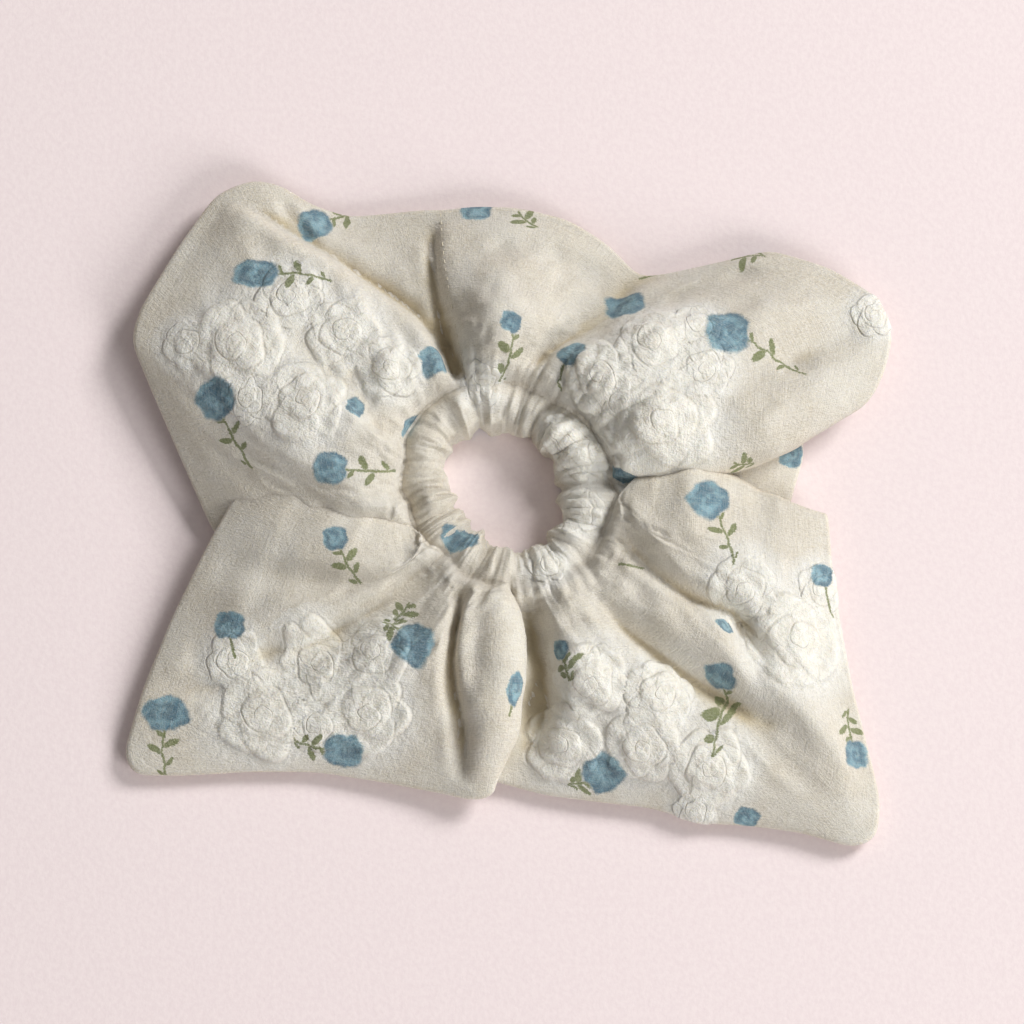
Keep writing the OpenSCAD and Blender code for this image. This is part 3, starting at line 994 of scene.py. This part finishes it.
class Wire:
    """A value in a shader tree, which ordinary arithmetic extends."""

    def __init__(self, tree: bpy.types.NodeTree, socket: bpy.types.NodeSocket) -> None:
        """Holds an output socket."""
        self.tree, self.socket = tree, socket

    def math(self, operation: str, *others: Wire | float, first: float | None = None) -> Wire:
        """Adds a Math node.

        Args:
            operation: The node's operation.
            others: Its further inputs.
            first: A number to put before this value.

        Returns:
            The node's result.
        """
        node = self.tree.nodes.new("ShaderNodeMath")
        node.operation = operation
        values = (self, *others) if first is None else (first, self, *others)
        for slot, value in zip(node.inputs, values):
            if isinstance(value, Wire):
                self.tree.links.new(value.socket, slot)
            else:
                slot.default_value = value
        return Wire(self.tree, node.outputs[0])

    def __add__(self, other: Wire | float) -> Wire:
        """Sum."""
        return self.math("ADD", other)

    def __sub__(self, other: Wire | float) -> Wire:
        """Difference."""
        return self.math("SUBTRACT", other)

    def __neg__(self) -> Wire:
        """Its opposite."""
        return self * -1.0

    def __rsub__(self, other: float) -> Wire:
        """A number less this."""
        return self.math("SUBTRACT", first=other)

    def __mul__(self, other: Wire | float) -> Wire:
        """Product."""
        return self.math("MULTIPLY", other)

    def __truediv__(self, other: Wire | float) -> Wire:
        """Quotient."""
        return self.math("DIVIDE", other)

    __radd__, __rmul__ = __add__, __mul__

    def sin(self) -> Wire:
        """Sine."""
        return self.math("SINE")

    def max(self, other: Wire | float) -> Wire:
        """The greater."""
        return self.math("MAXIMUM", other)

    def min(self, other: Wire | float) -> Wire:
        """The less."""
        return self.math("MINIMUM", other)

    def size(self, other: Wire) -> Wire:
        """Length of the plane vector whose parts are this and other."""
        return (self * self + other * other).math("SQRT")

    def ramp(self, low: float, high: float, a: float = 0.0, b: float = 1.0) -> Wire:
        """Goes smoothly from a at low to b at high."""
        node = self.tree.nodes.new("ShaderNodeMapRange")
        node.interpolation_type = "SMOOTHSTEP"
        backwards = low > high
        numbers = (high, low, b, a) if backwards else (low, high, a, b)
        for name, value in zip(("From Min", "From Max", "To Min", "To Max"), numbers):
            node.inputs[name].default_value = value
        self.tree.links.new(self.socket, node.inputs["Value"])
        return Wire(self.tree, node.outputs["Result"])


class Finish:
    """A material under construction, with short ways to add its nodes."""

    def __init__(self, name: str) -> None:
        """Starts a material with a bare Principled shader."""
        self.material = bpy.data.materials.new(name)
        self.material.use_nodes = True
        self.tree = self.material.node_tree
        self.shader = self.tree.nodes["Principled BSDF"]

    def set(self, **values: object) -> None:
        """Sets the shader's sockets, named with underscores for spaces."""
        for name, value in values.items():
            self.shader.inputs[name.replace("_", " ")].default_value = value

    def node(self, kind: str, **settings: object) -> bpy.types.Node:
        """Adds a node and sets its plain properties."""
        node = self.tree.nodes.new(kind)
        for name, value in settings.items():
            setattr(node, name, value)
        return node

    def link(self, out: Wire | bpy.types.NodeSocket, slot: bpy.types.NodeSocket) -> None:
        """Joins a value to an input."""
        self.tree.links.new(out.socket if isinstance(out, Wire) else out, slot)

    def coordinates(self, uv: str | None = None) -> Wire:
        """The piece's own UV map, or its Object coordinates."""
        if uv:
            return Wire(self.tree, self.node("ShaderNodeUVMap", uv_map=uv).outputs[0])
        return Wire(self.tree, self.node("ShaderNodeTexCoord").outputs["Object"])

    def attribute(self, name: str) -> tuple[Wire, Wire, Wire]:
        """The three numbers of a vector attribute."""
        source = self.node("ShaderNodeAttribute", attribute_name=name)
        split = self.node("ShaderNodeSeparateXYZ")
        self.link(source.outputs["Vector"], split.inputs[0])
        return tuple(Wire(self.tree, s) for s in split.outputs)

    def stretched(self, at: Wire, scale: tuple[float, float, float], turn: float = 0.0) -> Wire:
        """Coordinates scaled along their axes, after a turn about Z."""
        node = self.node("ShaderNodeMapping", vector_type="POINT")
        node.inputs["Scale"].default_value = scale
        node.inputs["Rotation"].default_value = (0, 0, turn)
        self.link(at, node.inputs["Vector"])
        return Wire(self.tree, node.outputs[0])

    def noise(self, at: Wire, scale: float, detail: float = 2.0, rough: float = 0.5) -> Wire:
        """Noise from about 0.3 to 0.7, by size per metre or per UV unit."""
        node = self.node("ShaderNodeTexNoise")
        for name, value in (("Scale", scale), ("Detail", detail), ("Roughness", rough)):
            node.inputs[name].default_value = value
        self.link(at, node.inputs["Vector"])
        return Wire(self.tree, node.outputs["Fac"])

    def mix(self, share: Wire, a: object, b: object) -> Wire:
        """A colour between a and b."""
        node = self.node("ShaderNodeMix", data_type="RGBA")
        self.link(share, node.inputs[0])
        for slot, value in ((node.inputs[6], a), (node.inputs[7], b)):
            if isinstance(value, Wire):
                self.link(value, slot)
            else:
                slot.default_value = value
        return Wire(self.tree, node.outputs[2])

    def bump(self, height: Wire, distance: float, strength: float = 1.0) -> None:
        """Roughens the surface by a height, over a distance in metres."""
        node = self.node("ShaderNodeBump")
        node.inputs["Distance"].default_value = distance
        node.inputs["Strength"].default_value = strength
        self.link(height, node.inputs["Height"])
        self.link(node.outputs[0], self.shader.inputs["Normal"])


@dataclass(frozen=True)
class ClothFinish:
    """Ivory slub cloth with woven white roses and watercolour sprigs, and painted shade in its hollows and in
    the roses' creases.
    """

    ivory: tuple[float, ...] = srgb(233, 225, 209)
    shaded: tuple[float, ...] = srgb(200, 189, 171)
    white: tuple[float, ...] = srgb(241, 238, 228)
    # Painted shade: the darker colour of the grooves between the roses' petals.
    crease: tuple[float, ...] = srgb(212, 204, 188)
    # Painted shade: the warm brown that the cloth darkens toward in its hollows.
    hollow_shade: tuple[float, ...] = srgb(196, 177, 138)
    blue: tuple[float, ...] = srgb(136, 174, 186)
    deep_blue: tuple[float, ...] = srgb(78, 116, 134)
    green: tuple[float, ...] = srgb(120, 128, 84)

    def sprig(self, f: Finish, mm: Wire) -> tuple[Wire, Wire, Wire]:
        """Draws the print.

        Args:
            f: The finish to draw in.
            mm: Coordinates for the print's uneven edges.

        Returns:
            How much bloom, how much leaf, and the bloom's light and dark.
        """
        x, y, stem = f.attribute("sprig_at")
        half_w, half_h, side = f.attribute("sprig_size")
        blot = f.noise(mm, 330.0, 3.0) - 0.5
        ragged = f.noise(mm, 2300.0, 3.0, 0.7) - 0.5
        much = half_w.min(6.0) * 0.3
        wx = x + blot * much + ragged * 1.3
        wy = y + (f.noise(mm, 400.0, 3.0) - 0.5) * much + ragged * 1.0
        u, v = wx / half_w, wy / half_h
        angle = v.math("ARCTAN2", u)
        rim = 1.0 + (angle * 4.0 + half_w).sin() * 0.06 + (angle * 7.0 + half_h * 2.0).sin() * 0.035
        r = u.size(v) / rim
        bloom = r.ramp(1.07, 0.86) * half_w.ramp(0.6, 1.0)
        fold = (r * 7.0 + angle * 1.0 + blot * 9.0).sin() * 0.5 + 0.5
        shade = fold * 0.25 + f.noise(mm, 300.0, 4.0) * 0.9 + u * 0.12 - r * 0.05
        down = (wy * -1.0 - half_h * 0.75) / stem.max(0.5)
        on_stem = down.ramp(-0.02, 0.03) * down.ramp(1.04, 0.98)
        bend = side * down * down * 2.6 - side * down * 1.2
        line = (wx - bend).math("ABSOLUTE").ramp(0.46, 0.2)
        leaf = line * on_stem
        for share, out, tilt, long, wide in (
            (0.26, 2.2, 0.5, 2.3, 0.95), (0.38, -2.1, -0.5, 2.2, 0.9), (0.60, 1.5, 0.6, 1.5, 0.66),
            (0.08, -1.1, -0.5, 1.5, 0.6), (0.82, -1.1, -0.9, 1.1, 0.5),
        ):  # fmt: skip
            lx = (wx - bend) * side - out
            ly = wy + half_h * 0.75 + stem * share + 0.5
            c, s = math.cos(tilt), math.sin(tilt)
            a = (lx * c + ly * s) / long
            b = (ly * c - lx * s) / wide
            leaf = leaf.max(a.size(b).ramp(1.05, 0.8) * side.math("ABSOLUTE"))
        leaf = leaf * stem.ramp(1.0, 3.0) * (1.0 - bloom)
        return bloom, leaf, shade

    def rose(self, f: Finish) -> tuple[Wire, Wire, Wire]:
        """The roses' whiteness, the height of their cups and the creases between them, which the finish also
        darkens as painted shade.
        """
        x, y, on = f.attribute("rose_at")
        far = x.size(y)
        outer, heart, crease = None, None, None
        for number, (cx, cy, radius, phase, share) in enumerate(OUTER + HEART):
            dx, dy = x - cx, y - cy
            a = dy.math("ARCTAN2", dx)
            wave = (a * 3.0 + phase).sin() * 0.08 + (a * 5.0 + 2 * phase).sin() * 0.03
            d = dx.size(dy) / ((wave + 1.0) * radius)
            cup = (d * d * 0.5 + 0.5) * d.ramp(1.03, 0.86) * share
            line = (d - 1.0).math("ABSOLUTE").ramp(0.1, 0.0) * (a + phase).sin().ramp(-0.6, 0.9)
            if number < len(OUTER):
                outer = cup if outer is None else outer.max(cup)
                line = line * far.ramp(0.62, 0.8)
            else:
                heart = cup if heart is None else heart + cup
            crease = line if crease is None else crease.max(line)
        return far.ramp(1.7, 0.8) * on, (outer + heart) * on, crease * on

    def make(self) -> bpy.types.Material:
        """Builds the material."""
        f = Finish("ivory rose cloth")
        here, flat = f.coordinates(), f.coordinates("weave")
        bloom, leaf, shade = self.sprig(f, here)
        white, cups, crease = self.rose(f)
        slub = f.noise(f.stretched(flat, (0.35, 7.0, 1)), 5.0, 4.0, 0.6)
        warp = f.noise(f.stretched(flat, (8.0, 0.5, 1)), 5.0, 3.0, 0.6)
        fuzz = f.noise(here, 2600.0, 2.0, 0.6)
        crepe = f.noise(f.stretched(here, (1.0, 1.8, 1.0)), 1300.0, 2.0, 0.6)
        crinkle = f.noise(here, 420.0, 3.0, 0.6)
        wrinkle = (f.noise(f.stretched(here, (1.0, 1.3, 1.0)), 210.0, 3.0, 0.55) - 0.5).math("ABSOLUTE")
        mottle = f.noise(here, 70.0, 3.0)
        hollow_shade_depth = Wire(f.tree, f.node("ShaderNodeAttribute", attribute_name="hollow_shade_depth").outputs["Fac"])
        weave = slub * 0.5 + warp * 0.35 + crepe * 0.35 + fuzz * 0.25
        base = f.mix(weave.ramp(0.5, 0.95), self.shaded, self.ivory)
        base = f.mix(mottle.ramp(0.35, 0.7, 0.0, 0.3), base, self.white)
        base = f.mix(white * crinkle.ramp(0.2, 0.7, 0.4, 0.95), base, self.white)
        # Painted shade: the grooves between the roses' petals are darkened toward the crease colour.
        base = f.mix(crease * 0.3, base, self.crease)
        # Painted shade: the cloth darkens toward a warm brown by the depth of its hollows, standing in for the
        # shade and warm bounced light in its folds.
        base = f.mix(hollow_shade_depth.ramp(0.9, 6.0, 0.0, 0.75), base, self.hollow_shade)
        dye = f.mix(shade.ramp(0.36, 0.84), self.deep_blue, self.blue)
        thread = weave.ramp(0.5, 1.0, 1.0, 0.72)
        colour = f.mix(bloom * thread, base, dye)
        colour = f.mix(leaf * thread, colour, self.green)
        f.link(colour, f.shader.inputs["Base Color"])
        f.set(Roughness=0.88, Specular_IOR_Level=0.2, Sheen_Weight=0.12, Sheen_Roughness=0.5)
        f.set(Subsurface_Weight=0.18, Subsurface_Radius=(1.0, 0.8, 0.5), Subsurface_Scale=0.004)
        height = crepe * 0.5 + slub * 0.35 + warp * 0.3 + fuzz * 0.25 - crease * 0.35
        height = height + cups * 1.5 + crinkle * (white * 0.9 + 0.3)
        height = height + wrinkle.ramp(0.0, 0.16) * (white * 0.12 + 0.12)
        f.bump(height, 0.0009, 0.7)
        return f.material


@dataclass(frozen=True)
class ElasticFinish:
    """White braided elastic: fine cords with a chevron of threads across them."""

    white: tuple[float, ...] = srgb(236, 233, 226)
    grey: tuple[float, ...] = srgb(196, 192, 184)

    def make(self) -> bpy.types.Material:
        """Builds the material."""
        f = Finish("white braided elastic")
        flat, here = f.coordinates("weave"), f.coordinates()
        split = f.node("ShaderNodeSeparateXYZ")
        f.link(flat, split.inputs[0])
        u, v = (Wire(f.tree, s) for s in split.outputs[:2])
        zig = (v * 8.0).math("PINGPONG", 1.0)
        braid = ((u * 12.0 + zig * 1.2) * math.pi).sin() * 0.5 + 0.5
        fibre = f.noise(here, 3000.0, 3.0)
        f.link(f.mix(braid * 0.7 + fibre * 0.3, self.grey, self.white), f.shader.inputs["Base Color"])
        f.set(Roughness=0.8, Sheen_Weight=0.15)
        f.bump(braid * 0.8 + fibre * 0.4, 0.0003, 0.8)
        return f.material


@dataclass(frozen=True)
class ThreadFinish:
    """Twisted ivory sewing thread with a faint shine."""

    light: tuple[float, ...] = srgb(236, 228, 208)
    dark: tuple[float, ...] = srgb(190, 178, 150)

    def make(self) -> bpy.types.Material:
        """Builds the material."""
        f = Finish("ivory sewing thread")
        here = f.coordinates()
        ply = f.noise(f.stretched(here, (1, 1, 1), 0.7), 5200.0, 2.0)
        f.link(f.mix(ply.ramp(0.35, 0.65), self.dark, self.light), f.shader.inputs["Base Color"])
        f.set(Roughness=0.55, Sheen_Weight=0.2)
        f.bump(ply, 0.0001, 0.7)
        return f.material


@dataclass(frozen=True)
class FloorFinish:
    """A plain pale pink sheet of paper."""

    pink: tuple[float, ...] = srgb(243, 229, 228)
    grain: tuple[float, ...] = srgb(239, 224, 224)

    def make(self) -> bpy.types.Material:
        """Builds the material."""
        f = Finish("pale pink paper")
        here = f.coordinates()
        tooth = f.noise(here, 700.0, 3.0, 0.6)
        f.link(f.mix(tooth.ramp(0.3, 0.7), self.grain, self.pink), f.shader.inputs["Base Color"])
        f.set(Roughness=0.92, Specular_IOR_Level=0.15)
        f.bump(tooth, 0.0002, 0.35)
        return f.material


# ---------------------------------------------------------------------------------------
# Meshes
# ---------------------------------------------------------------------------------------


def mesh_object(name: str, points: Array, faces: list, edges: Sequence = ()) -> bpy.types.Object:
    """Makes a smooth mesh object at the origin.

    Args:
        name: The object's name.
        points: Its points, in millimetres.
        faces: Point numbers of each face.
        edges: Point numbers of loose edges.

    Returns:
        The object, in the scene.
    """
    mesh = bpy.data.meshes.new(name)
    mesh.from_pydata((np.asarray(points) * MM).tolist(), list(edges), faces)
    mesh.shade_smooth()
    obj = bpy.data.objects.new(name, mesh)
    bpy.context.scene.collection.objects.link(obj)
    return obj


def fit(obj: bpy.types.Object, nodes: Sequence[str], finish: bpy.types.Material) -> None:
    """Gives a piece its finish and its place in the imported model.

    Args:
        obj: The finished piece.
        nodes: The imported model's nodes that it stands for.
        finish: Its material.
    """
    obj.data.materials.clear()
    obj.data.materials.append(finish)
    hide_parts(*nodes)
    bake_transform(obj)
    LOG.info("%s: %d faces", obj.name, len(obj.data.polygons))


# ---------------------------------------------------------------------------------------
# The elastic
# ---------------------------------------------------------------------------------------


@dataclass(frozen=True)
class Elastic:
    """One length of braided elastic, lapped and sewn on itself at the left."""

    ring: Ring
    width: float = 6.0
    thickness: float = 0.9
    cords: int = 8
    lap_turn: float = 34.0
    middle: float = 180.0
    steps: int = 330

    def places(self) -> tuple[Array, Array]:
        """Direction in degrees and offset from the ring, all along the strip."""
        turn = 360.0 + self.lap_turn
        share = np.linspace(0, 1, self.steps)
        degrees = self.middle - self.lap_turn / 2 + turn * share
        gap = (self.thickness + 0.16) * turn / 360.0
        return degrees, gap * (share - 0.5)

    def section(self) -> Array:
        """The braid's section, as offsets across and up."""
        n = self.cords * 4
        up = np.linspace(-0.5, 0.5, n + 1)
        rib = np.abs(np.sin(np.pi * (up + 0.5) * self.cords))
        half = self.thickness / 2 * (0.62 + 0.38 * rib)
        half[0] = half[-1] = self.thickness * 0.2
        face = np.stack([half, up * self.width], -1)
        back = np.stack([-half[::-1], up[::-1] * self.width], -1)
        return np.concatenate([face, back])

    def build(self) -> bpy.types.Object:
        """Makes the strip, closed at both ends."""
        degrees, offset = self.places()
        section = self.section()
        centre, out = self.ring.point(degrees), self.ring.outward(degrees)
        across = section[None, :, 0] + offset[:, None]
        plan = centre[:, None] + out[:, None] * across[..., None]
        z = np.broadcast_to(section[:, 1], across.shape)[..., None]
        points = np.concatenate([plan, z], -1)
        n, k = across.shape
        i, j = np.meshgrid(np.arange(n - 1), np.arange(k), indexing="ij")
        j1 = (j + 1) % k
        quads = np.stack([i * k + j, (i + 1) * k + j, (i + 1) * k + j1, i * k + j1], -1)
        ends = [list(range(k)), [(n - 1) * k + j for j in range(k)][::-1]]
        obj = mesh_object("elastic_loop", points.reshape(-1, 3), quads.reshape(-1, 4).tolist() + ends)
        steps = np.linalg.norm(np.diff(centre, axis=0), axis=-1)
        along = np.concatenate([[0.0], np.cumsum(steps)]) / 10
        u = section[:, 1] / self.width + 0.5
        uv = np.stack([np.broadcast_to(u, (n, k)), np.broadcast_to(along[:, None], (n, k))], -1)
        uv = uv.reshape(-1, 2)
        layer = obj.data.uv_layers.new(name="weave")
        loops = np.empty(len(obj.data.loops), int)
        obj.data.loops.foreach_get("vertex_index", loops)
        layer.data.foreach_set("uv", uv[loops].astype(np.float32).ravel())
        return obj


# ---------------------------------------------------------------------------------------
# The threads
# ---------------------------------------------------------------------------------------


@dataclass(frozen=True)
class Line:
    """Points of a row of stitches and the side that each stitch stands out on."""

    points: Array
    out: Array
    closed: bool = False


class StitchNodes:
    """Geometry nodes that lay a stitch at even steps along every line of a mesh."""

    INPUTS = (
        ("Stitches", "NodeSocketInt", 40),
        ("Stitch length", "NodeSocketFloat", 0.002),
        ("Arch", "NodeSocketFloat", 0.0004),
        ("Thread radius", "NodeSocketFloat", 0.0002),
        ("Seed", "NodeSocketInt", 1),
        ("Thread", "NodeSocketMaterial", None),
    )

    def __init__(self) -> None:
        """Builds the node group."""
        self.tree = bpy.data.node_groups.new("stitch row", "GeometryNodeTree")
        sockets = self.tree.interface
        sockets.new_socket("Line", in_out="INPUT", socket_type="NodeSocketGeometry")
        self.names = {}
        for name, kind, value in self.INPUTS:
            item = sockets.new_socket(name, in_out="INPUT", socket_type=kind)
            if value is not None:
                item.default_value = value
            self.names[name] = item.identifier
        sockets.new_socket("Stitches", in_out="OUTPUT", socket_type="NodeSocketGeometry")
        self.lay()

    def node(self, kind: str, **settings: object) -> bpy.types.Node:
        """Adds a node and sets its plain properties."""
        node = self.tree.nodes.new(kind)
        for name, value in settings.items():
            setattr(node, name, value)
        return node

    def link(self, out: bpy.types.NodeSocket, slot: bpy.types.NodeSocket) -> None:
        """Joins two sockets."""
        self.tree.links.new(out, slot)

    def half(self, value: bpy.types.NodeSocket, factor: float) -> bpy.types.NodeSocket:
        """A value times a factor."""
        node = self.node("ShaderNodeMath", operation="MULTIPLY")
        self.link(value, node.inputs[0])
        node.inputs[1].default_value = factor
        return node.outputs[0]

    def stitch(self, given: bpy.types.Node) -> bpy.types.NodeSocket:
        """One stitch along X that arches towards Z."""
        ends = []
        for factor in (-0.5, 0.5):
            end = self.node("ShaderNodeCombineXYZ")
            self.link(self.half(given.outputs["Stitch length"], factor), end.inputs["X"])
            ends.append(end.outputs[0])
        top = self.node("ShaderNodeCombineXYZ")
        self.link(self.half(given.outputs["Arch"], 2.0), top.inputs["Z"])
        arc = self.node("GeometryNodeCurveQuadraticBezier")
        arc.inputs["Resolution"].default_value = 7
        self.link(ends[0], arc.inputs["Start"])
        self.link(top.outputs[0], arc.inputs["Middle"])
        self.link(ends[1], arc.inputs["End"])
        circle = self.node("GeometryNodeCurvePrimitiveCircle")
        circle.inputs["Resolution"].default_value = 8
        self.link(given.outputs["Thread radius"], circle.inputs["Radius"])
        tube = self.node("GeometryNodeCurveToMesh")
        tube.inputs["Fill Caps"].default_value = True
        self.link(arc.outputs[0], tube.inputs["Curve"])
        self.link(circle.outputs[0], tube.inputs["Profile Curve"])
        return tube.outputs[0]

    def lay(self) -> None:
        """Spaces the stitches, turns them along the line and gives them their thread."""
        given = self.node("NodeGroupInput")
        curve = self.node("GeometryNodeMeshToCurve")
        self.link(given.outputs["Line"], curve.inputs[0])
        even = self.node("GeometryNodeResampleCurve", mode="COUNT")
        self.link(curve.outputs[0], even.inputs["Curve"])
        self.link(given.outputs["Stitches"], even.inputs["Count"])
        along = self.node("FunctionNodeAlignRotationToVector", axis="X")
        self.link(self.node("GeometryNodeInputTangent").outputs[0], along.inputs["Vector"])
        side = self.node("GeometryNodeInputNamedAttribute", data_type="FLOAT_VECTOR")
        side.inputs["Name"].default_value = "out"
        stand = self.node("FunctionNodeAlignRotationToVector", axis="Z", pivot_axis="X")
        self.link(along.outputs[0], stand.inputs["Rotation"])
        self.link(side.outputs["Attribute"], stand.inputs["Vector"])
        uneven = self.node("FunctionNodeRandomValue", data_type="FLOAT")
        uneven.inputs[2].default_value = 0.9
        uneven.inputs[3].default_value = 1.1
        self.link(given.outputs["Seed"], uneven.inputs["Seed"])
        copies = self.node("GeometryNodeInstanceOnPoints")
        self.link(even.outputs[0], copies.inputs["Points"])
        self.link(self.stitch(given), copies.inputs["Instance"])
        self.link(stand.outputs[0], copies.inputs["Rotation"])
        self.link(uneven.outputs[1], copies.inputs["Scale"])
        real = self.node("GeometryNodeRealizeInstances")
        self.link(copies.outputs[0], real.inputs[0])
        soft = self.node("GeometryNodeSetShadeSmooth")
        self.link(real.outputs[0], soft.inputs[0])
        thread = self.node("GeometryNodeSetMaterial")
        self.link(soft.outputs[0], thread.inputs["Geometry"])
        self.link(given.outputs["Thread"], thread.inputs["Material"])
        result = self.node("NodeGroupOutput")
        self.link(thread.outputs[0], result.inputs[0])

    def sew(self, name: str, lines: Sequence[Line], values: dict[str, object]) -> bpy.types.Object:
        """Sews rows of stitches.

        Args:
            name: The piece's name.
            lines: Where the rows run, in millimetres.
            values: The node group's inputs, by name.

        Returns:
            The stitches as one mesh object.
        """
        edges, first = [], 0
        for line in lines:
            n = len(line.points)
            edges += [(first + i, first + i + 1) for i in range(n - 1)]
            if line.closed:
                edges.append((first + n - 1, first))
            first += n
        points = np.concatenate([line.points for line in lines])
        obj = mesh_object(name, points, [], edges)
        out = obj.data.attributes.new("out", "FLOAT_VECTOR", "POINT")
        sides = np.concatenate([line.out for line in lines]).astype(np.float32)
        out.data.foreach_set("vector", sides.ravel())
        modifier = obj.modifiers.new("stitches", "NODES")
        modifier.node_group = self.tree
        for key, value in values.items():
            modifier[self.names[key]] = value
        graph = bpy.context.evaluated_depsgraph_get()
        mesh = bpy.data.meshes.new_from_object(obj.evaluated_get(graph), depsgraph=graph)
        obj.modifiers.clear()
        obj.data = mesh
        mesh.name = name
        return obj


@dataclass(frozen=True)
class Threads:
    """All the sewing thread: the casing's, the closing seam's, the elastic's and the long seam's."""

    sleeve: Sleeve
    elastic: Elastic
    casing_count: int = 88
    closing_count: int = 20
    thread: float = 0.15

    def casing(self) -> list[Line]:
        """The casing's seam above and below."""
        p, first = self.sleeve.points, self.sleeve.casing_rows
        above = (p[::3, first - 1] + p[::3, first]) / 2
        below = (p[::3, -1] + p[::3, 0]) / 2
        above[:, 2] = below[:, 2] + 0.7
        up = np.tile([0.0, 0.0, 1.0], (len(above), 1))
        return [Line(above, up, True), Line(below, -up, True)]

    def closing(self) -> list[Line]:
        """The closing seam, on the upper layer and on the lower one."""
        s = self.sleeve
        top = slice(s.casing_rows + 3, s.casing_rows + s.top_rows, 3)
        under = slice(s.casing_rows + s.top_rows + s.fold_rows, s.points.shape[1] - 2, 2)
        return [Line(s.points[0, r] - 0.1 * s.normals[0, r], s.normals[0, r]) for r in (top, under)]

    def join(self) -> list[Line]:
        """The stitches through the elastic's lap, on its two faces."""
        e, lines = self.elastic, []
        for degrees in (e.middle - 12, e.middle - 5, e.middle + 5, e.middle + 12):
            for side in (-1, 1):
                a = np.full(9, float(degrees))
                out = self.sleeve.ring.outward(a) * side
                plan = self.sleeve.ring.point(a) + out * (e.thickness + 0.12)
                z = np.linspace(-0.38, 0.38, 9) * e.width
                points = np.concatenate([plan, z[:, None]], -1)
                lines.append(Line(points, np.concatenate([out, 0 * z[:, None]], -1)))
        return lines

    def long_seam(self) -> list[Line]:
        """The sleeve's long seam, hidden in the casing on the hair side."""
        a = np.linspace(0, 360, 120, endpoint=False)
        ring = self.sleeve.ring
        plan = ring.point(a) - ring.outward(a) * 1.55
        points = np.concatenate([plan, np.zeros((120, 1))], -1)
        out = np.concatenate([-ring.outward(a), np.zeros((120, 1))], -1)
        return [Line(points, out, True)]

    def build(self, nodes: StitchNodes, finish: bpy.types.Material) -> dict[str, bpy.types.Object]:
        """Sews every row.

        Args:
            nodes: The stitch row's node group.
            finish: The thread's material.

        Returns:
            The four pieces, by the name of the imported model's node.
        """
        rows = (
            ("casing_stitches", self.casing(), self.casing_count, 1.7, 0.3, 2),
            ("closing_stitches", self.closing(), self.closing_count, 1.1, 0.1, 3),
            ("elastic_join_stitches", self.join(), 4, 1.1, 0.15, 4),
            ("long_seam_stitches", self.long_seam(), 60, 1.8, 0.1, 5),
        )
        out = {}
        for name, lines, count, length, arch, seed in rows:
            values = {
                "Stitches": count, "Stitch length": length * MM, "Arch": arch * MM,
                "Thread radius": self.thread * MM, "Seed": seed, "Thread": finish,
            }  # fmt: skip
            node = name.replace("long_seam_stitches", "long_seam_thread")
            out[node] = nodes.sew(name.replace("_stitches", "_thread_row"), lines, values)
        return out


# ---------------------------------------------------------------------------------------
# The studio
# ---------------------------------------------------------------------------------------


@dataclass(frozen=True)
class Studio:
    """A pale floor, soft light from the upper right and a camera nearly overhead."""

    table: float
    target: tuple[float, float, float] = (2.35, -5.2, 0.0)
    elevation: float = 80.0
    distance: float = 2000.0
    view_width: float = 267.7
    sky: float = 0.26
    key: float = 71.0
    fill: float = 42.0

    def floor(self) -> None:
        """Lays the floor."""
        s = 1500.0
        z = self.table - 0.05
        corners = np.array([(-s, -s, z), (s, -s, z), (s, s, z), (-s, s, z)])
        floor = mesh_object("floor", corners, [[0, 1, 2, 3]])
        floor.data.materials.append(FloorFinish().make())

    def light(self, name: str, place: tuple[float, float, float], power: float, size: float) -> None:
        """Hangs a square lamp that faces the middle.

        Args:
            name: Its name.
            place: Where it hangs, in millimetres.
            power: Power in watts.
            size: Side of the square, in millimetres.
        """
        lamp = bpy.data.lights.new(name, "AREA")
        lamp.energy, lamp.size = power, size * MM
        obj = bpy.data.objects.new(name, lamp)
        obj.location = Vector(place) * MM
        obj.rotation_euler = (-obj.location).to_track_quat("-Z", "Y").to_euler()
        bpy.context.scene.collection.objects.link(obj)

    def camera(self) -> None:
        """Sets up the camera."""
        tilt = math.radians(self.elevation)
        target = Vector(self.target) * MM
        back = Vector((0, -math.cos(tilt), math.sin(tilt))) * self.distance * MM
        data = bpy.data.cameras.new("camera")
        data.angle = 2 * math.atan(self.view_width / 2 / self.distance)
        obj = bpy.data.objects.new("camera", data)
        obj.location = target + back
        obj.rotation_euler = (-back).to_track_quat("-Z", "Y").to_euler()
        bpy.context.scene.collection.objects.link(obj)
        bpy.context.scene.camera = obj

    def build(self) -> None:
        """Sets the whole studio up."""
        self.floor()
        world = bpy.data.worlds.new("studio")
        world.use_nodes = True
        sky = world.node_tree.nodes["Background"]
        sky.inputs["Color"].default_value = (1.0, 0.985, 0.975, 1.0)
        sky.inputs["Strength"].default_value = self.sky
        bpy.context.scene.world = world
        self.light("key", (1900.0, 1400.0, 1750.0), self.key, 1000.0)
        self.light("fill", (1700.0, -1700.0, 1400.0), self.fill, 1200.0)
        self.camera()
        bpy.context.scene.view_settings.view_transform = "Standard"


def main() -> None:
    """Builds the scrunchie piece by piece, then the studio round it."""
    logging.basicConfig(level=logging.INFO, format="%(name)s: %(message)s")
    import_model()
    table = min(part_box(n)[0].z for n in ("ruffle_left", "ruffle_right")) / MM
    ring = Ring()
    sleeve = Sleeve(ring, table, sprigs=SPRIGS)
    cloth = sleeve.build(Pattern)
    cloth_nodes = ("ruffle_left", "ruffle_right", "casing_left", "casing_right")
    fit(cloth, cloth_nodes, ClothFinish().make())
    sleeve.strip_width * MM
    sleeve.strip_length * MM
    elastic = Elastic(ring)
    fit(elastic.build(), ("elastic_band",), ElasticFinish().make())
    thread = ThreadFinish().make()
    for node, obj in Threads(sleeve, elastic).build(StitchNodes(), thread).items():
        fit(obj, (node,), thread)
    Studio(table).build()


if __name__ == "__main__":
    main()
